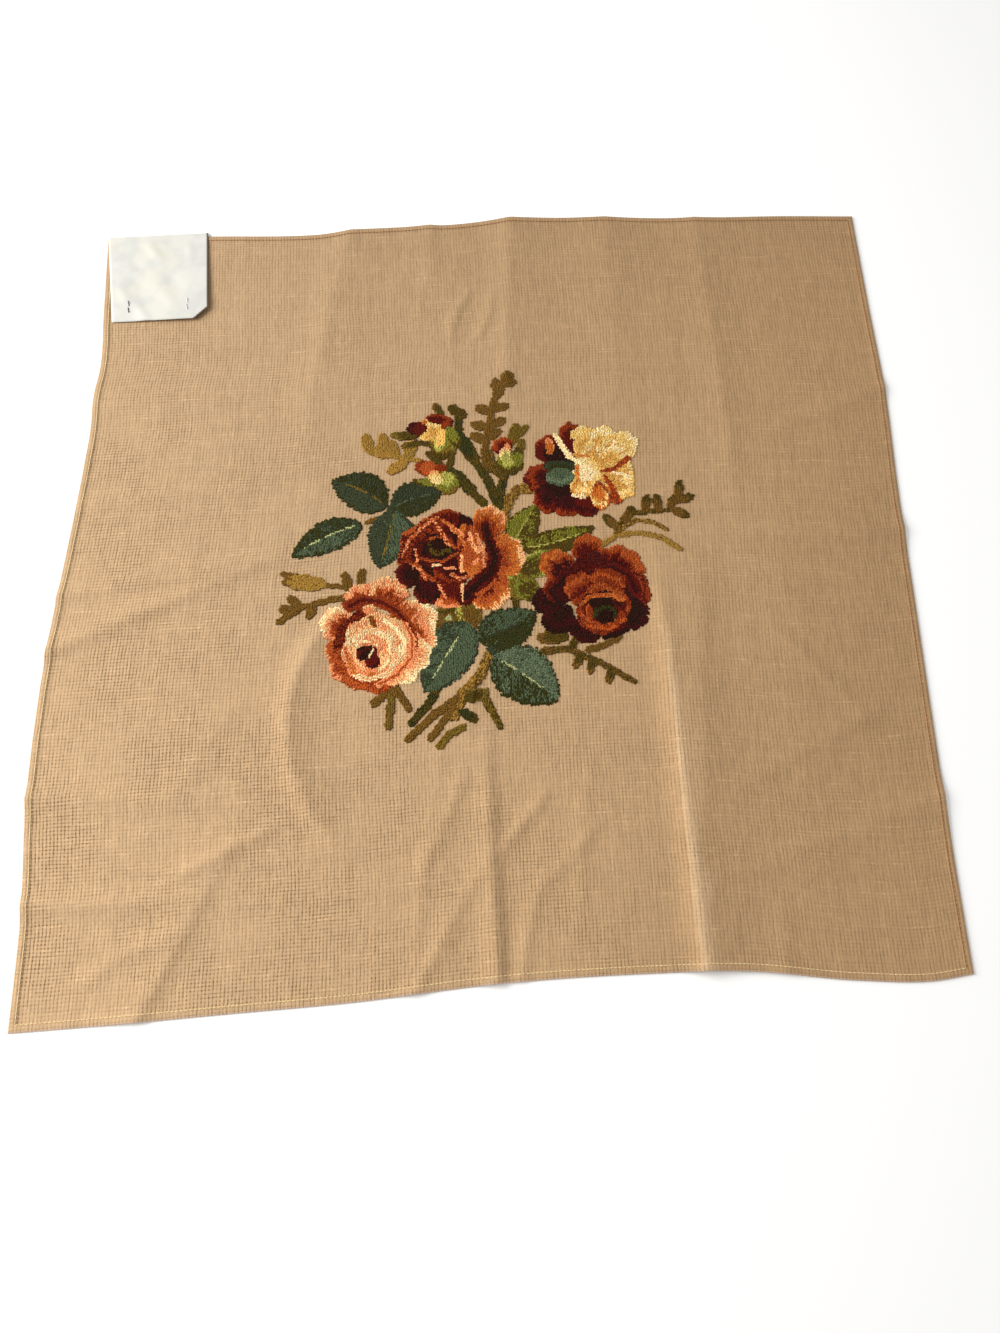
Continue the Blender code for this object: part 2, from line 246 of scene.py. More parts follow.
SPRIGS = [
    # Brown sprig that stands highest
    Sprig(
        [(2, 78), (3, 100), (7, 122), (12, 146), (20, 160)], 6,
        [(3, 108, 150), (5, 110, 35), (5, 120, 160), (8, 122, 20), (8, 134, 150), (10, 136, 15),
         (12, 146, 60), (15, 152, 100), (18, 158, 20)],
        14, 8, "brown_olive",
    ),
    Petal(23, 165, 12, 11, 60, "brown_olive"),
    # Light sprig to the left of the buds
    Sprig(
        [(-48, 91), (-66, 96), (-82, 102)], 4,
        [(-68, 95, 110), (-60, 93, 70), (-77, 100, 100), (-89, 100, 105), (-60, 92, 215), (-72, 97, 160)],
        19, 9, "olive_gold",
    ),
    # Two sprigs to the left of the pink rose
    Sprig(
        [(-95, -22), (-108, -16), (-122, -14), (-137, -7), (-156, -3)], 4,
        [(-104, -18, 110), (-97, -16, 80)],
        16, 7, "brown_olive",
    ),
    Petal(-139, -11, 34, 13, 172, "olive_gold olive_gold brown_olive"),
    Sprig(
        [(-98, -23), (-120, -26), (-140, -31), (-158, -43)], 5,
        [(-142, -31, 135), (-132, -29, 255), (-146, -34, 170), (-100, -22, 60)],
        13, 7, "brown_olive",
    ),
    # Forked sprig to the right
    Stem([(90, 12), (104, 21), (122, 22), (138, 17), (151, 7)], 4, 4, "olive_gold"),
    Stem([(103, 23), (118, 33), (132, 31), (142, 24)], 3, 3, "olive_gold brown_olive"),
    Sprig(
        [(104, 26), (112, 38), (128, 40), (146, 41)], 4,
        [(104, 27, 130), (110, 32, 60), (126, 40, 75), (138, 40, 95), (146, 43, 55), (152, 48, 20),
         (148, 42, 330), (154, 52, 80)],
        16, 7, "brown_olive olive_dark",
    ),
    # Stems below
    Stem([(0, -74), (-6, -90), (-20, -104), (-27, -120)], 6, 9, "olive_gold brown_olive"),
    Stem([(-38, -98), (-46, -112), (-58, -125)], 6, 5, "olive_dark forest"),
    Stem([(-24, -108), (-40, -118), (-60, -137)], 6, 5, "brown_olive"),
    Stem([(-26, -114), (-36, -126), (-44, -137)], 5, 5, "brown_olive"),
    Stem([(-20, -130), (-30, -134), (-37, -143)], 5, 5, "olive"),
    Stem([(-14, -104), (-4, -108), (2, -120), (7, -130)], 7, 4, "olive olive_dark"),
    Petal(-10, -106, 20, 9, 20, "olive_dark olive"),
    Petal(-16, -121, 16, 7, 325, "forest olive_dark"),
    # Three small ones under the pink rose
    Stem([(-74, -100), (-85, -109)], 4, 6, "brown_olive"),
    Stem([(-72, -101), (-75, -127)], 6, 5, "brown_olive olive"),
    Stem([(-70, -98), (-60, -114)], 6, 5, "brown_olive"),
    # Sprig under the dark rose
    Petal(49, -62, 24, 10, 180, "olive_dark brown_olive"),
    Sprig(
        [(42, -73), (60, -72), (84, -84), (107, -99)], 5,
        [(70, -76, 240), (78, -80, 255), (92, -88, 250), (62, -72, 60)],
        13, 6, "olive_dark brown_olive",
    ),
    Stem([(76, -73), (88, -70), (99, -64)], 5, 4, "brown_olive"),
]

LEAVES = [
    # Three-part dark leaf at the left
    Stem([(-92, 38), (-80, 42), (-72, 47)], 3, 3, "brown_olive"),
    Stem([(-74, 50), (-66, 42), (-55, 30)], 4, 7, "teal_dark forest"),
    Leaf((-76, 52), (-119, 76), 34, -3, "forest teal_dark teal_dark olive"),
    Leaf((-72, 50), (-33, 63), 30, 2, "forest teal_dark teal_dark teal"),
    Leaf((-96, 37), (-149, 11), 27, -3, "forest teal_dark teal pale_vein"),
    Leaf((-69, 48), (-82, 0), 33, 1, "teal_dark teal_dark teal olive"),
    # Three leaves below the roses
    Petal(-31, -45, 22, 22, 120, "olive brown_olive olive_dark olive"),
    Petal(-13, -42, 26, 18, 80, "brown_olive olive brown_olive"),
    Stem([(-24, -30), (-20, -44), (-18, -55)], 5, 5, "olive light_green"),
    Petal(-29, -44, 5, 5, 0, "pale_vein"),
    Leaf((-14, -48), (-47, -102), 40, -1, "teal_dark teal teal pale_vein"),
    Leaf((-7, -62), (37, -42), 34, -2, "forest forest teal teal_dark"),
    Stem([(2, -70), (10, -80)], 5, 6, "teal_dark"),
    Leaf((4, -76), (50, -112), 44, 2, "forest teal blue_green pale_vein"),
    # Fresh green leaves between the flowers
    Stem([(16, 38), (20, 54), (28, 63), (44, 64)], 7, 9, "brown_olive olive_gold"),
    Leaf((22, 12), (43, 49), 24, 2, "olive_dark leaf_green leaf_green light_green"),
    Leaf((28, 12), (86, 28), 22, -3, "olive_dark olive_dark leaf_green light_green"),
    Petal(43, -1, 32, 22, 22, "olive_dark leaf_green light_green leaf_green olive"),
    Stem([(22, -18), (22, -35)], 7, 5, "olive_dark"),
    Petal(27, -20, 31, 21, 150, "olive_dark leaf_green olive leaf_green light_green"),
]

BUDS = [
    # Their stems
    Stem([(-24, 98), (-27, 82), (-14, 68), (0, 52)], 5, 6, "olive_dark"),
    Stem([(-30, 84), (-18, 76), (-10, 64)], 6, 9, "olive_dark forest"),
    Stem([(-18, 136), (-18, 116), (-12, 98), (-2, 84), (5, 70), (11, 50)], 6, 7, "forest olive_dark"),
    Petal(-12, 102, 36, 11, 300, "forest olive_dark"),
    Stem([(18, 80), (14, 62), (12, 42)], 6, 7, "olive_dark forest"),
    Stem([(6, 96), (7, 84), (16, 76)], 7, 7, "brown_olive olive_dark"),
    # Largest bud, at the left
    Petal(-22, 138, 10, 7, 105, "olive_dark"),
    Petal(-15, 133, 7, 9, 0, "olive_dark"),
    Petal(-34, 138, 14, 6, 120, "olive_dark brown_olive"),
    Petal(-62, 115, 22, 8, 175, "olive_dark olive"),
    Petal(-57, 106, 14, 7, 190, "olive_dark olive"),
    Stem([(-52, 108), (-40, 106)], 4, 4, "olive_dark"),
    Petal(-30, 106, 26, 22, 250, "leaf_green olive olive_dark"),
    Petal(-38, 120, 22, 26, 110, "gold yellow pale_yellow gold burnt_orange"),
    Petal(-33, 109, 20, 9, 260, "yellow light_green"),
    Petal(-51, 121, 16, 12, 170, "maroon wine"),
    Petal(-34, 129, 9, 20, 80, "maroon russet"),
    Petal(-27, 124, 8, 12, 320, "russet maroon"),
    Petal(-22, 112, 22, 9, 295, "leaf_green olive_dark"),
    # Middle bud
    Petal(-38, 94, 16, 7, 135, "olive_dark"),
    Petal(-44, 85, 18, 13, 160, "rust russet"),
    Petal(-33, 83, 10, 10, 60, "russet"),
    Petal(-28, 71, 20, 18, 290, "light_green leaf_green olive"),
    Petal(-46, 72, 18, 7, 170, "leaf_green olive_dark"),
    Petal(-37, 76, 14, 10, 120, "pale_yellow yellow salmon"),
    # Small bud, at the right
    Petal(27, 113, 20, 9, 75, "olive"),
    Petal(34, 116, 14, 5, 50, "olive"),
    Petal(32, 103, 12, 7, 80, "olive"),
    Petal(22, 87, 20, 22, 280, "leaf_green olive_dark olive_dark"),
    Petal(29, 92, 18, 8, 85, "leaf_green olive_dark"),
    Petal(17, 103, 14, 17, 110, "maroon russet rust"),
    Petal(21, 102, 5, 6, 30, "salmon"),
    Petal(19, 94, 14, 9, 100, "light_green pale_yellow peach"),
    Petal(21, 86, 10, 10, 280, "light_green leaf_green"),
]

YELLOW_FLOWER = [
    Petal(46, 72, 24, 26, 175, "wine maroon russet russet maroon"),
    Petal(53, 55, 26, 26, 225, "black_brown wine maroon russet"),
    Petal(66, 48, 18, 24, 265, "wine maroon russet"),
    Petal(82, 47, 18, 20, 280, "maroon wine maroon"),
    Petal(56, 98, 26, 26, 130, "black_brown maroon maroon russet"),
    Petal(55, 101, 16, 7, 95, "burnt_orange salmon"),
    Petal(73, 109, 26, 20, 100, "maroon maroon russet russet"),
    Petal(105, 54, 12, 12, 260, "russet rust"),
    Petal(84, 104, 30, 24, 105, "gold yellow pale_yellow yellow pale_yellow"),
    Petal(98, 102, 32, 24, 75, "gold yellow pale_yellow cream pale_yellow"),
    Petal(110, 98, 34, 26, 30, "gold pale_yellow yellow pale_yellow cream"),
    Petal(104, 88, 32, 22, 20, "gold yellow pale_yellow cream pale_yellow"),
    Petal(90, 94, 24, 20, 60, "gold cream yellow pale_yellow gold"),
    Stem([(96, 108), (92, 98), (86, 92)], 2, 2, "gold"),
    Stem([(110, 108), (104, 98), (96, 90)], 2, 3, "cream gold"),
    Stem([(118, 96), (108, 90), (98, 86)], 2, 2, "gold"),
    Petal(108, 72, 26, 30, 350, "gold yellow gold pale_yellow yellow"),
    Petal(110, 62, 22, 18, 330, "gold pale_yellow yellow"),
    Stem([(102, 76), (112, 74), (118, 70)], 2, 3, "cream"),
    Petal(92, 54, 22, 14, 275, "burnt_orange gold pale_yellow burnt_orange"),
    Petal(79, 66, 26, 20, 250, "gold yellow pale_yellow gold cream"),
    Stem([(80, 74), (82, 64), (78, 56)], 2, 2, "cream"),
    Petal(86, 80, 26, 24, 20, "cream pale_yellow yellow gold"),
    Stem([(60, 111), (66, 99), (72, 88), (82, 80)], 4, 7, "cream"),
    Stem([(73, 106), (72, 96)], 4, 3, "maroon"),
    Stem([(75, 92), (87, 91)], 3, 2, "gold burnt_orange"),
    Stem([(96, 77), (106, 79), (117, 88)], 3, 5, "russet rust"),
    Stem([(97, 73), (103, 62), (105, 52)], 3, 7, "rust russet"),
    Stem([(87, 59), (91, 67), (100, 60)], 2, 3, "russet burnt_orange"),
    Stem([(76, 82), (76, 70), (71, 60)], 4, 3, "burnt_orange gold"),
    Petal(61, 60, 20, 18, 270, "black_brown wine"),
    Petal(62, 83, 14, 26, 90, "forest teal_dark black_brown"),
    Petal(62, 73, 16, 23, 270, "teal blue_green teal"),
]

DARK_ROSE = [
    Petal(88, -14, 44, 40, 90, "wine maroon"),
    Petal(80, 9, 26, 24, 90, "maroon russet rust rust"),
    Petal(56, -4, 30, 26, 135, "wine russet rust burnt_orange rust"),
    Petal(105, -5, 30, 36, 50, "wine maroon russet rust rust"),
    Petal(114, -28, 22, 34, 0, "wine maroon russet maroon russet"),
    Petal(110, -45, 26, 24, 325, "black_brown black_brown wine"),
    Petal(94, -55, 18, 28, 280, "black_brown wine black_brown"),
    Petal(74, -57, 20, 24, 250, "wine black_brown wine"),
    Petal(54, -47, 26, 24, 235, "black_brown wine black_brown"),
    Petal(47, -32, 24, 22, 185, "black_brown wine black_brown"),
    Petal(56, -24, 24, 22, 160, "wine black_brown maroon russet"),
    Petal(74, -24, 30, 26, 130, "maroon russet rust russet"),
    Stem([(57, -12), (70, -6), (80, 2), (86, 1)], 6, 11, "maroon wine"),
    Stem([(82, -10), (98, -6), (110, -14), (115, -27)], 6, 10, "maroon wine maroon"),
    Petal(94, -17, 18, 28, 75, "russet rust russet russet"),
    Stem([(66, -30), (78, -25), (92, -21), (100, -23)], 3, 4, "maroon"),
    Petal(89, -40, 44, 40, 60, "russet maroon russet rust russet"),
    Petal(88, -42, 32, 38, 270, "black_brown maroon russet rust"),
    Stem([(72, -36), (80, -30), (94, -29), (104, -34)], 3, 4, "rust burnt_orange"),
    Stem([(71, -42), (75, -50), (86, -54), (97, -50)], 3, 3, "rust russet"),
    Petal(78, -44, 6, 14, 180, "russet rust"),
    Petal(90, -44, 17, 19, 90, "black_brown forest black_brown"),
]

PINK_ROSE = [
    Petal(-96, -25, 22, 24, 120, "russet rust salmon salmon peach"),
    Petal(-75, -22, 26, 30, 85, "russet rust salmon peach salmon peach"),
    Petal(-111, -47, 30, 28, 145, "russet rust salmon peach cream peach"),
    Petal(-56, -46, 38, 34, 35, "russet rust rust salmon peach cream"),
    Petal(-54, -58, 32, 40, 350, "russet rust salmon salmon peach cream"),
    Petal(-98, -72, 44, 50, 195, "maroon russet russet russet russet rust salmon"),
    Petal(-88, -79, 42, 56, 250, "maroon russet russet rust russet rust"),
    Petal(-69, -76, 42, 38, 312, "rust rust salmon salmon peach cream"),
    Petal(-62, -70, 40, 34, 335, "rust salmon salmon peach cream"),
    Stem(
        [(-104, -32), (-94, -27), (-80, -29), (-68, -37), (-58, -50), (-54, -64)],
        10, 5, "russet maroon russet",
    ),
    Stem([(-112, -62), (-108, -50), (-98, -40), (-90, -35)], 8, 6, "russet maroon"),
    Petal(-89, -35, 8, 10, 80, "salmon peach"),
    Petal(-83, -65, 53, 52, 60, "salmon peach cream peach salmon peach peach"),
    Stem([(-107, -66), (-102, -78), (-94, -86)], 4, 5, "salmon rust"),
    Petal(-95, -83, 16, 24, 240, "salmon burnt_orange salmon"),
    Petal(-72, -78, 24, 16, 300, "peach salmon peach"),
    Stem([(-62, -47), (-56, -60), (-57, -74), (-68, -88), (-82, -95)], 4, 5, "salmon rust salmon"),
    Stem([(-98, -88), (-88, -91), (-76, -87), (-67, -76), (-64, -64)], 4, 3, "cream peach cream"),
    Stem([(-78, -44), (-69, -51), (-63, -61), (-64, -70)], 3, 4, "cream"),
    Stem([(-90, -48), (-80, -54), (-74, -62), (-73, -74), (-80, -83)], 2, 3, "cream peach"),
    Stem([(-104, -56), (-94, -50), (-84, -49), (-76, -52)], 2, 3, "salmon peach"),
    Stem([(-104, -62), (-94, -60), (-84, -63)], 2, 3, "salmon cream"),
    Stem([(-86, -56), (-78, -62), (-77, -70)], 2, 2, "salmon"),
    Stem([(-88, -42), (-85, -48)], 4, 4, "russet olive"),
    Petal(-91, -70, 12, 17, 100, "black_brown maroon black_brown"),
    Petal(-86, -77, 11, 12, 300, "maroon wine"),
    Stem([(-100, -66), (-99, -76), (-92, -82)], 2, 3, "peach"),
    Stem([(-86, -67), (-89, -73)], 2, 2, "cream"),
]

CENTRE_ROSE = [
    Petal(-30, 34, 26, 30, 105, "wine maroon maroon russet"),
    Petal(4, 34, 32, 26, 65, "russet rust burnt_orange salmon peach"),
    Petal(16, 6, 30, 36, 5, "russet rust burnt_orange burnt_orange peach"),
    Petal(2, -22, 32, 34, 300, "maroon rust rust burnt_orange peach"),
    Petal(-29, -23, 26, 30, 250, "maroon russet rust salmon"),
    Petal(-40, 12, 54, 56, 155, "wine maroon black_brown maroon russet maroon rust"),
    Petal(-59, -7, 19, 20, 200, "black_brown wine maroon"),
    Petal(-45, -22, 20, 21, 235, "wine black_brown maroon"),
    Stem([(-52, 0), (-46, -8), (-40, -12)], 3, 4, "rust russet"),
    Petal(-14, 34, 16, 11, 120, "wine black_brown"),
    Petal(-27, -8, 18, 26, 250, "wine maroon russet maroon"),
    Petal(-10, 10, 20, 50, 10, "rust burnt_orange rust salmon"),
    Stem([(-24, 30), (-18, 26), (-12, 22)], 5, 5, "salmon burnt_orange"),
    Stem([(-12, 32), (-14, 22), (-20, 10), (-19, -6)], 3, 3, "maroon russet"),
    Stem([(1, 32), (4, 18), (8, 4), (4, -8), (-6, -17), (-16, -27)], 7, 15, "wine black_brown maroon"),
    Stem([(-6, -26), (2, -20), (8, -14)], 4, 3, "rust"),
    Stem([(-18, 8), (-18, -6)], 2, 3, "peach salmon"),
    Stem([(-11, 26), (-9, 16), (-5, 10), (-1, 14)], 3, 3, "peach salmon"),
    Stem([(-5, 4), (-9, 0)], 3, 2, "salmon"),
    Petal(-34, 15, 22, 20, 280, "black_brown olive_dark black_brown"),
    Petal(-47, 13, 9, 12, 170, "black_brown maroon"),
    Stem([(-53, 24), (-44, 29), (-35, 27), (-26, 22)], 3, 3, "russet maroon"),
    Stem([(-43, 22), (-36, 24), (-28, 21), (-23, 14)], 2, 3, "rust russet"),
    Stem([(-50, 6), (-42, 4), (-32, 3), (-22, 9)], 2, 3, "russet rust"),
    Stem([(-40, 0), (-34, 0)], 2, 2, "cream peach"),
    Stem([(-31, -3), (-24, -3)], 2, 3, "salmon"),
    Stem([(-64, 8), (-58, 22), (-48, 33), (-36, 41)], 2, 3, "rust salmon"),
    Stem([(-38, 36), (-32, 26), (-28, 17)], 3, 3, "salmon russet"),
    Stem([(-32, 38), (-22, 30), (-15, 16)], 3, 3, "salmon burnt_orange rust"),
    Stem([(-54, 14), (-52, 4), (-56, -2)], 2, 2, "rust salmon"),
    Stem([(-58, 2), (-50, -3), (-46, -12)], 2, 3, "salmon rust"),
    Stem([(-26, -8), (-20, -12), (-12, -10)], 3, 2, "rust salmon"),
    Stem([(-36, -17), (-31, -27)], 2, 2, "salmon"),
    Stem([(-18, -17), (-18, -30)], 2, 2, "peach"),
]

SPRAY = SPRIGS + LEAVES + BUDS + YELLOW_FLOWER + DARK_ROSE + PINK_ROSE + CENTRE_ROSE

SMALL_PETAL = 12  # narrower ones, in millimetres, have a plain rim
RIM_WAVES = 7  # waves round the rim of a petal
RIM_WAVE = 0.05  # their depth, as a share of its radius
RAYS = 9  # streaks of a petal's tones over its width
RAY_DEPTH = 0.16  # how far the streaks push a tone into its neighbour
GRAIN_DEPTH = 0.10  # the same for single stitches
FOOT = 1.5  # where a petal's stitches run together, in half lengths behind its middle
TEETH = 8  # teeth along each side of a leaf
LEAF_EDGE = 1.9  # millimetres
LEAF_VEIN = 0.7
SIDE_VEINS = 5
SIDE_LEAN = 0.8  # how far a leaf's stitches turn away from its vein, in radians


def streak(place, seed):
    """A smooth random number from -1 to 1 along a line of places."""
    heights = np.random.default_rng(seed).uniform(-1, 1, 257)
    return np.interp(np.mod(place, 256), np.arange(257), heights)


class Chart:
    """The spray as it is worked: at each place the number of its wool, or -1, and the stitch's lean."""

    def __init__(self, x, y):
        self.x = x
        self.y = y
        self.grain = np.random.default_rng(SEED).uniform(-1, 1, x.shape)
        self.wool = np.full(x.shape, -1)
        self.lean = np.zeros(x.shape)

    def lay(self, where, tones, shade, lean):
        """Works these places in one of the tones, picked by their shade from 0 to 1."""
        wools = np.array([WOOL_NAMES.index(tone) for tone in tones.split()])
        pick = np.clip((shade * len(wools)).astype(int), 0, len(wools) - 1)
        self.wool[where] = wools[pick][where]
        self.lean[where] = lean[where]


def draw_petal(chart, petal):
    turn = math.radians(petal.turn)
    seed = int(5000 + petal.x * 13 + petal.y * 7)
    run_x, run_y = chart.x - petal.x, chart.y - petal.y
    along = (run_x * math.cos(turn) + run_y * math.sin(turn)) / (petal.long / 2)
    aside = (run_y * math.cos(turn) - run_x * math.sin(turn)) / (petal.wide / 2)
    bearing = np.arctan2(aside, along)
    small = min(petal.long, petal.wide) < SMALL_PETAL
    wave = 0.0 if small else RIM_WAVE * np.sin(RIM_WAVES * bearing + seed)
    reach = np.hypot(along, aside) / (1 + wave)
    shade = reach * (0.55 + 0.45 * np.cos(bearing))
    ray = streak(np.arctan2(aside, along + 1.7) * RAYS, seed)
    lean = turn + np.arctan2(aside * petal.wide, (along + FOOT) * petal.long)
    chart.lay(reach < 1, petal.tones, shade + RAY_DEPTH * ray + GRAIN_DEPTH * chart.grain, lean)


def draw_leaf(chart, leaf):
    x, y, grain = chart.x, chart.y, chart.grain
    run_x, run_y = leaf.tip[0] - leaf.base[0], leaf.tip[1] - leaf.base[1]
    length = math.hypot(run_x, run_y)
    run_x, run_y = run_x / length, run_y / length
    along = ((x - leaf.base[0]) * run_x + (y - leaf.base[1]) * run_y) / length
    aside = (y - leaf.base[1]) * run_x - (x - leaf.base[0]) * run_y
    inner = np.clip(along, 0, 1)
    aside = aside - 4 * leaf.bow * inner * (1 - inner)
    half = leaf.wide / 2 * np.sin(math.pi * inner**0.8) ** 0.7
    half = half * (1.04 - 0.13 * np.mod(along * TEETH, 1.0))
    side = np.abs(aside)
    inside = (along > 0) & (along < 1) & (side < half)
    axis = math.atan2(run_y, run_x)
    lean = axis + SIDE_LEAN * np.sign(aside) * np.minimum(side / 3, 1.0)
    edge, dark, light, vein = leaf.tones.split()
    mottle = streak(along * length / 4 + np.sign(aside) * 40, int(leaf.wide * 31 + length)) + grain
    chart.lay(inside, f"{edge} {dark} {light}", 0.55 + 0.20 * np.sign(aside) + 0.26 * mottle, lean)
    rib = np.mod((along - side / length * 0.9) * SIDE_VEINS, 1.0)
    chart.lay(inside & (rib < 0.16) & (aside > 0) & (along > 0.12), light, inner, lean)
    chart.lay(inside & (rib < 0.16) & (aside < 0) & (along > 0.12), edge, inner, lean)
    rim = inside & (side > half - LEAF_EDGE) & (grain + 0.3 * np.sign(-aside) > -0.45)
    chart.lay(rim, edge, inner, lean)
    on_vein = inside & (side < LEAF_VEIN) & (along > 0.08) & (along < 0.8)
    broken = streak(along * length / 3, int(length * 17)) > -0.45
    chart.lay(on_vein & broken, vein, inner, np.full(x.shape, axis))


def draw_stem(chart, stem):
    x, y, grain = chart.x, chart.y, chart.grain
    route = np.array(stem.route, float)
    spans = np.hypot(*np.diff(route, axis=0).T)
    starts = np.concatenate([[0.0], np.cumsum(spans)]) / spans.sum()
    best = np.full(x.shape, 1e9)
    share = np.zeros(x.shape)
    lean = np.zeros(x.shape)
    for here, there, start, span in zip(route[:-1], route[1:], starts[:-1], spans, strict=True):
        run = (there - here) / span
        t = np.clip((x - here[0]) * run[0] + (y - here[1]) * run[1], 0, span)
        away = np.hypot(x - here[0] - run[0] * t, y - here[1] - run[1] * t)
        share = np.where(away < best, start + t / spans.sum(), share)
        lean = np.where(away < best, math.atan2(run[1], run[0]), lean)
        best = np.minimum(best, away)
    half = (stem.wide_start + (stem.wide_end - stem.wide_start) * share) / 2
    chart.lay(best < half * (1 + 0.12 * grain), stem.tones, 0.5 + 0.45 * best / half * np.sign(grain), lean)


def draw_sprig(chart, sprig):
    draw_stem(chart, Stem(sprig.route, sprig.wide, sprig.wide * 0.8, sprig.tones))
    for foot_x, foot_y, turn in sprig.leaflets:
        run = math.radians(turn)
        middle_x = foot_x + math.cos(run) * sprig.long * 0.45
        middle_y = foot_y + math.sin(run) * sprig.long * 0.45
        draw_petal(chart, Petal(middle_x, middle_y, sprig.long, sprig.leaflet_wide, turn, sprig.tones))


DRAW = {Petal: draw_petal, Leaf: draw_leaf, Stem: draw_stem, Sprig: draw_sprig}


def draw_spray(x, y):
    """The chart of the spray at these places, in millimetres."""
    chart = Chart(x, y)
    for shape in SPRAY:
        DRAW[type(shape)](chart, shape)
    return chart


def along_edge(edge, share):
    """The places at these shares (0 to 1) of an edge's length, on a smooth line through its places."""
    x, y = np.array(edge).T
    steps = np.hypot(np.diff(x), np.diff(y))
    at = np.concatenate([[0.0], np.cumsum(steps)]) / steps.sum()
    slope_x, slope_y = np.gradient(x, at), np.gradient(y, at)
    i = np.clip(np.searchsorted(at, share, side="right") - 1, 0, len(at) - 2)
    span = at[i + 1] - at[i]
    t = (share - at[i]) / span
    start, end = 2 * t**3 - 3 * t**2 + 1, 3 * t**2 - 2 * t**3
    leave, arrive = (t**3 - 2 * t**2 + t) * span, (t**3 - t**2) * span
    return (
        start * x[i] + end * x[i + 1] + leave * slope_x[i] + arrive * slope_x[i + 1],
        start * y[i] + end * y[i + 1] + leave * slope_y[i] + arrive * slope_y[i + 1],
    )


def lie(across, deep):
    """Where points of the cut cloth lie; across and deep run from 0 to 1 over its width and depth."""
    near, far = along_edge(NEAR_EDGE, across), along_edge(FAR_EDGE, across)
    left, right = along_edge(LEFT_EDGE, deep), along_edge(RIGHT_EDGE, deep)
    corners = (
        (NEAR_EDGE[0], (1 - across) * (1 - deep)),
        (NEAR_EDGE[-1], across * (1 - deep)),
        (FAR_EDGE[0], (1 - across) * deep),
        (FAR_EDGE[-1], across * deep),
    )
    point = []
    for axis in (0, 1):
        between_sides = (1 - across) * left[axis] + across * right[axis]
        between_ends = (1 - deep) * near[axis] + deep * far[axis]
        plain = sum(corner[axis] * weight for corner, weight in corners)
        point.append(between_sides + between_ends - plain)
    return point


def soft_step(value):
    value = np.clip(value, 0.0, 1.0)
    return value * value * (3 - 2 * value)


def fold_rise(fold, x, y):
    run_x, run_y = fold.x_far - fold.x_near, fold.y_far - fold.y_near
    length = math.hypot(run_x, run_y)
    run_x, run_y = run_x / length, run_y / length
    share = ((x - fold.x_near) * run_x + (y - fold.y_near) * run_y) / length
    aside = (y - fold.y_near) * run_x - (x - fold.x_near) * run_y - 4 * fold.bow * share * (1 - share)
    flank = np.where(aside > 0, fold.left, fold.right)
    rise = fold.rise_near + (fold.rise_far - fold.rise_near) * share
    ends = soft_step(share / 0.3) * soft_step((1 - share) / 0.3)
    return rise * ends * np.clip(1 - np.abs(aside) / flank, 0.0, 1.0) ** 2


def ground(x, y):
    """Height of the cloth's folds over the surface that it lies on."""
    return sum(fold_rise(fold, x, y) for fold in FOLDS + CREASES)


def on_cloth(x, y, height):
    """Points at this height over the cloth's underside, as an array of (x, y, z)."""
    return np.stack([x + ORIGIN_SHIFT[0], y + ORIGIN_SHIFT[1], ground(x, y) + UNDERSIDE + height], axis=-1)


def cloth_points(across, deep, height):
    return on_cloth(*lie(across, deep), height)


def hem_lines(hem):
    """How far in from the edge the sheet has its lines over the rounded edge and the hem."""
    return [0.0, 0.0005, 0.0012, hem * 0.5, hem - 0.0009, hem, hem + 0.0010]


def stations(size, cells, hem):
    """Shares of a side at which the sheet has its lines: the hem at each end and an even field."""
    edge = [place / size for place in hem_lines(hem)]
    inner = np.linspace(edge[-1], 1 - edge[-1], cells + 1)
    return np.concatenate([edge[:-1], inner, [1 - place for place in edge[-2::-1]]])


def ride(piece, replaced=()):
    """Says what a finished piece stands for: its body and the CAD nodes that it replaces."""
    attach(piece, BODY)
    if replaced:
        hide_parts(*replaced)
    return piece


def add_object(name, mesh, finish):
    mesh.materials.append(finish)
    made = bpy.data.objects.new(name, mesh)
    bpy.context.scene.collection.objects.link(made)
    return made


def thicken(sheet, thickness):
    """Gives an open sheet its thickness above the side that it lies on."""
    shell = sheet.modifiers.new("thickness", "SOLIDIFY")
    shell.thickness = thickness
    shell.offset = 1.0
    return shell


def add_form(name, form, finish):
    mesh = bpy.data.meshes.new(name)
    form.to_mesh(mesh)
    form.free()
    mesh.shade_smooth()
    return add_object(name, mesh, finish)


# One short strand, and many of them in one mesh

def strand_form(rings, sides):
    """A closed strand along X from -0.5 to 0.5, one unit across, with a map of its length and girth."""
    form = bmesh.new()
    bmesh.ops.create_cone(form, cap_ends=True, segments=sides, radius1=0.5, radius2=0.5, depth=1.0)
    sidelines = [edge for edge in form.edges if abs(edge.verts[0].co.z - edge.verts[1].co.z) > 0.5]
    bmesh.ops.subdivide_edges(form, edges=sidelines, cuts=rings)
    bmesh.ops.rotate(form, verts=form.verts, cent=(0, 0, 0), matrix=Matrix.Rotation(math.pi / 2, 3, "Y"))
    bmesh.ops.recalc_face_normals(form, faces=form.faces)
    girth = form.loops.layers.uv.new("strand")
    for face in form.faces:
        middle = face.calc_center_median()
        facing = math.atan2(middle.z, middle.y)
        for loop in face.loops:
            turn = math.atan2(loop.vert.co.z, loop.vert.co.y)
            turn += math.tau * round((facing - turn) / math.tau)
            loop[girth].uv = (loop.vert.co.x + 0.5, turn / math.tau)
    return form


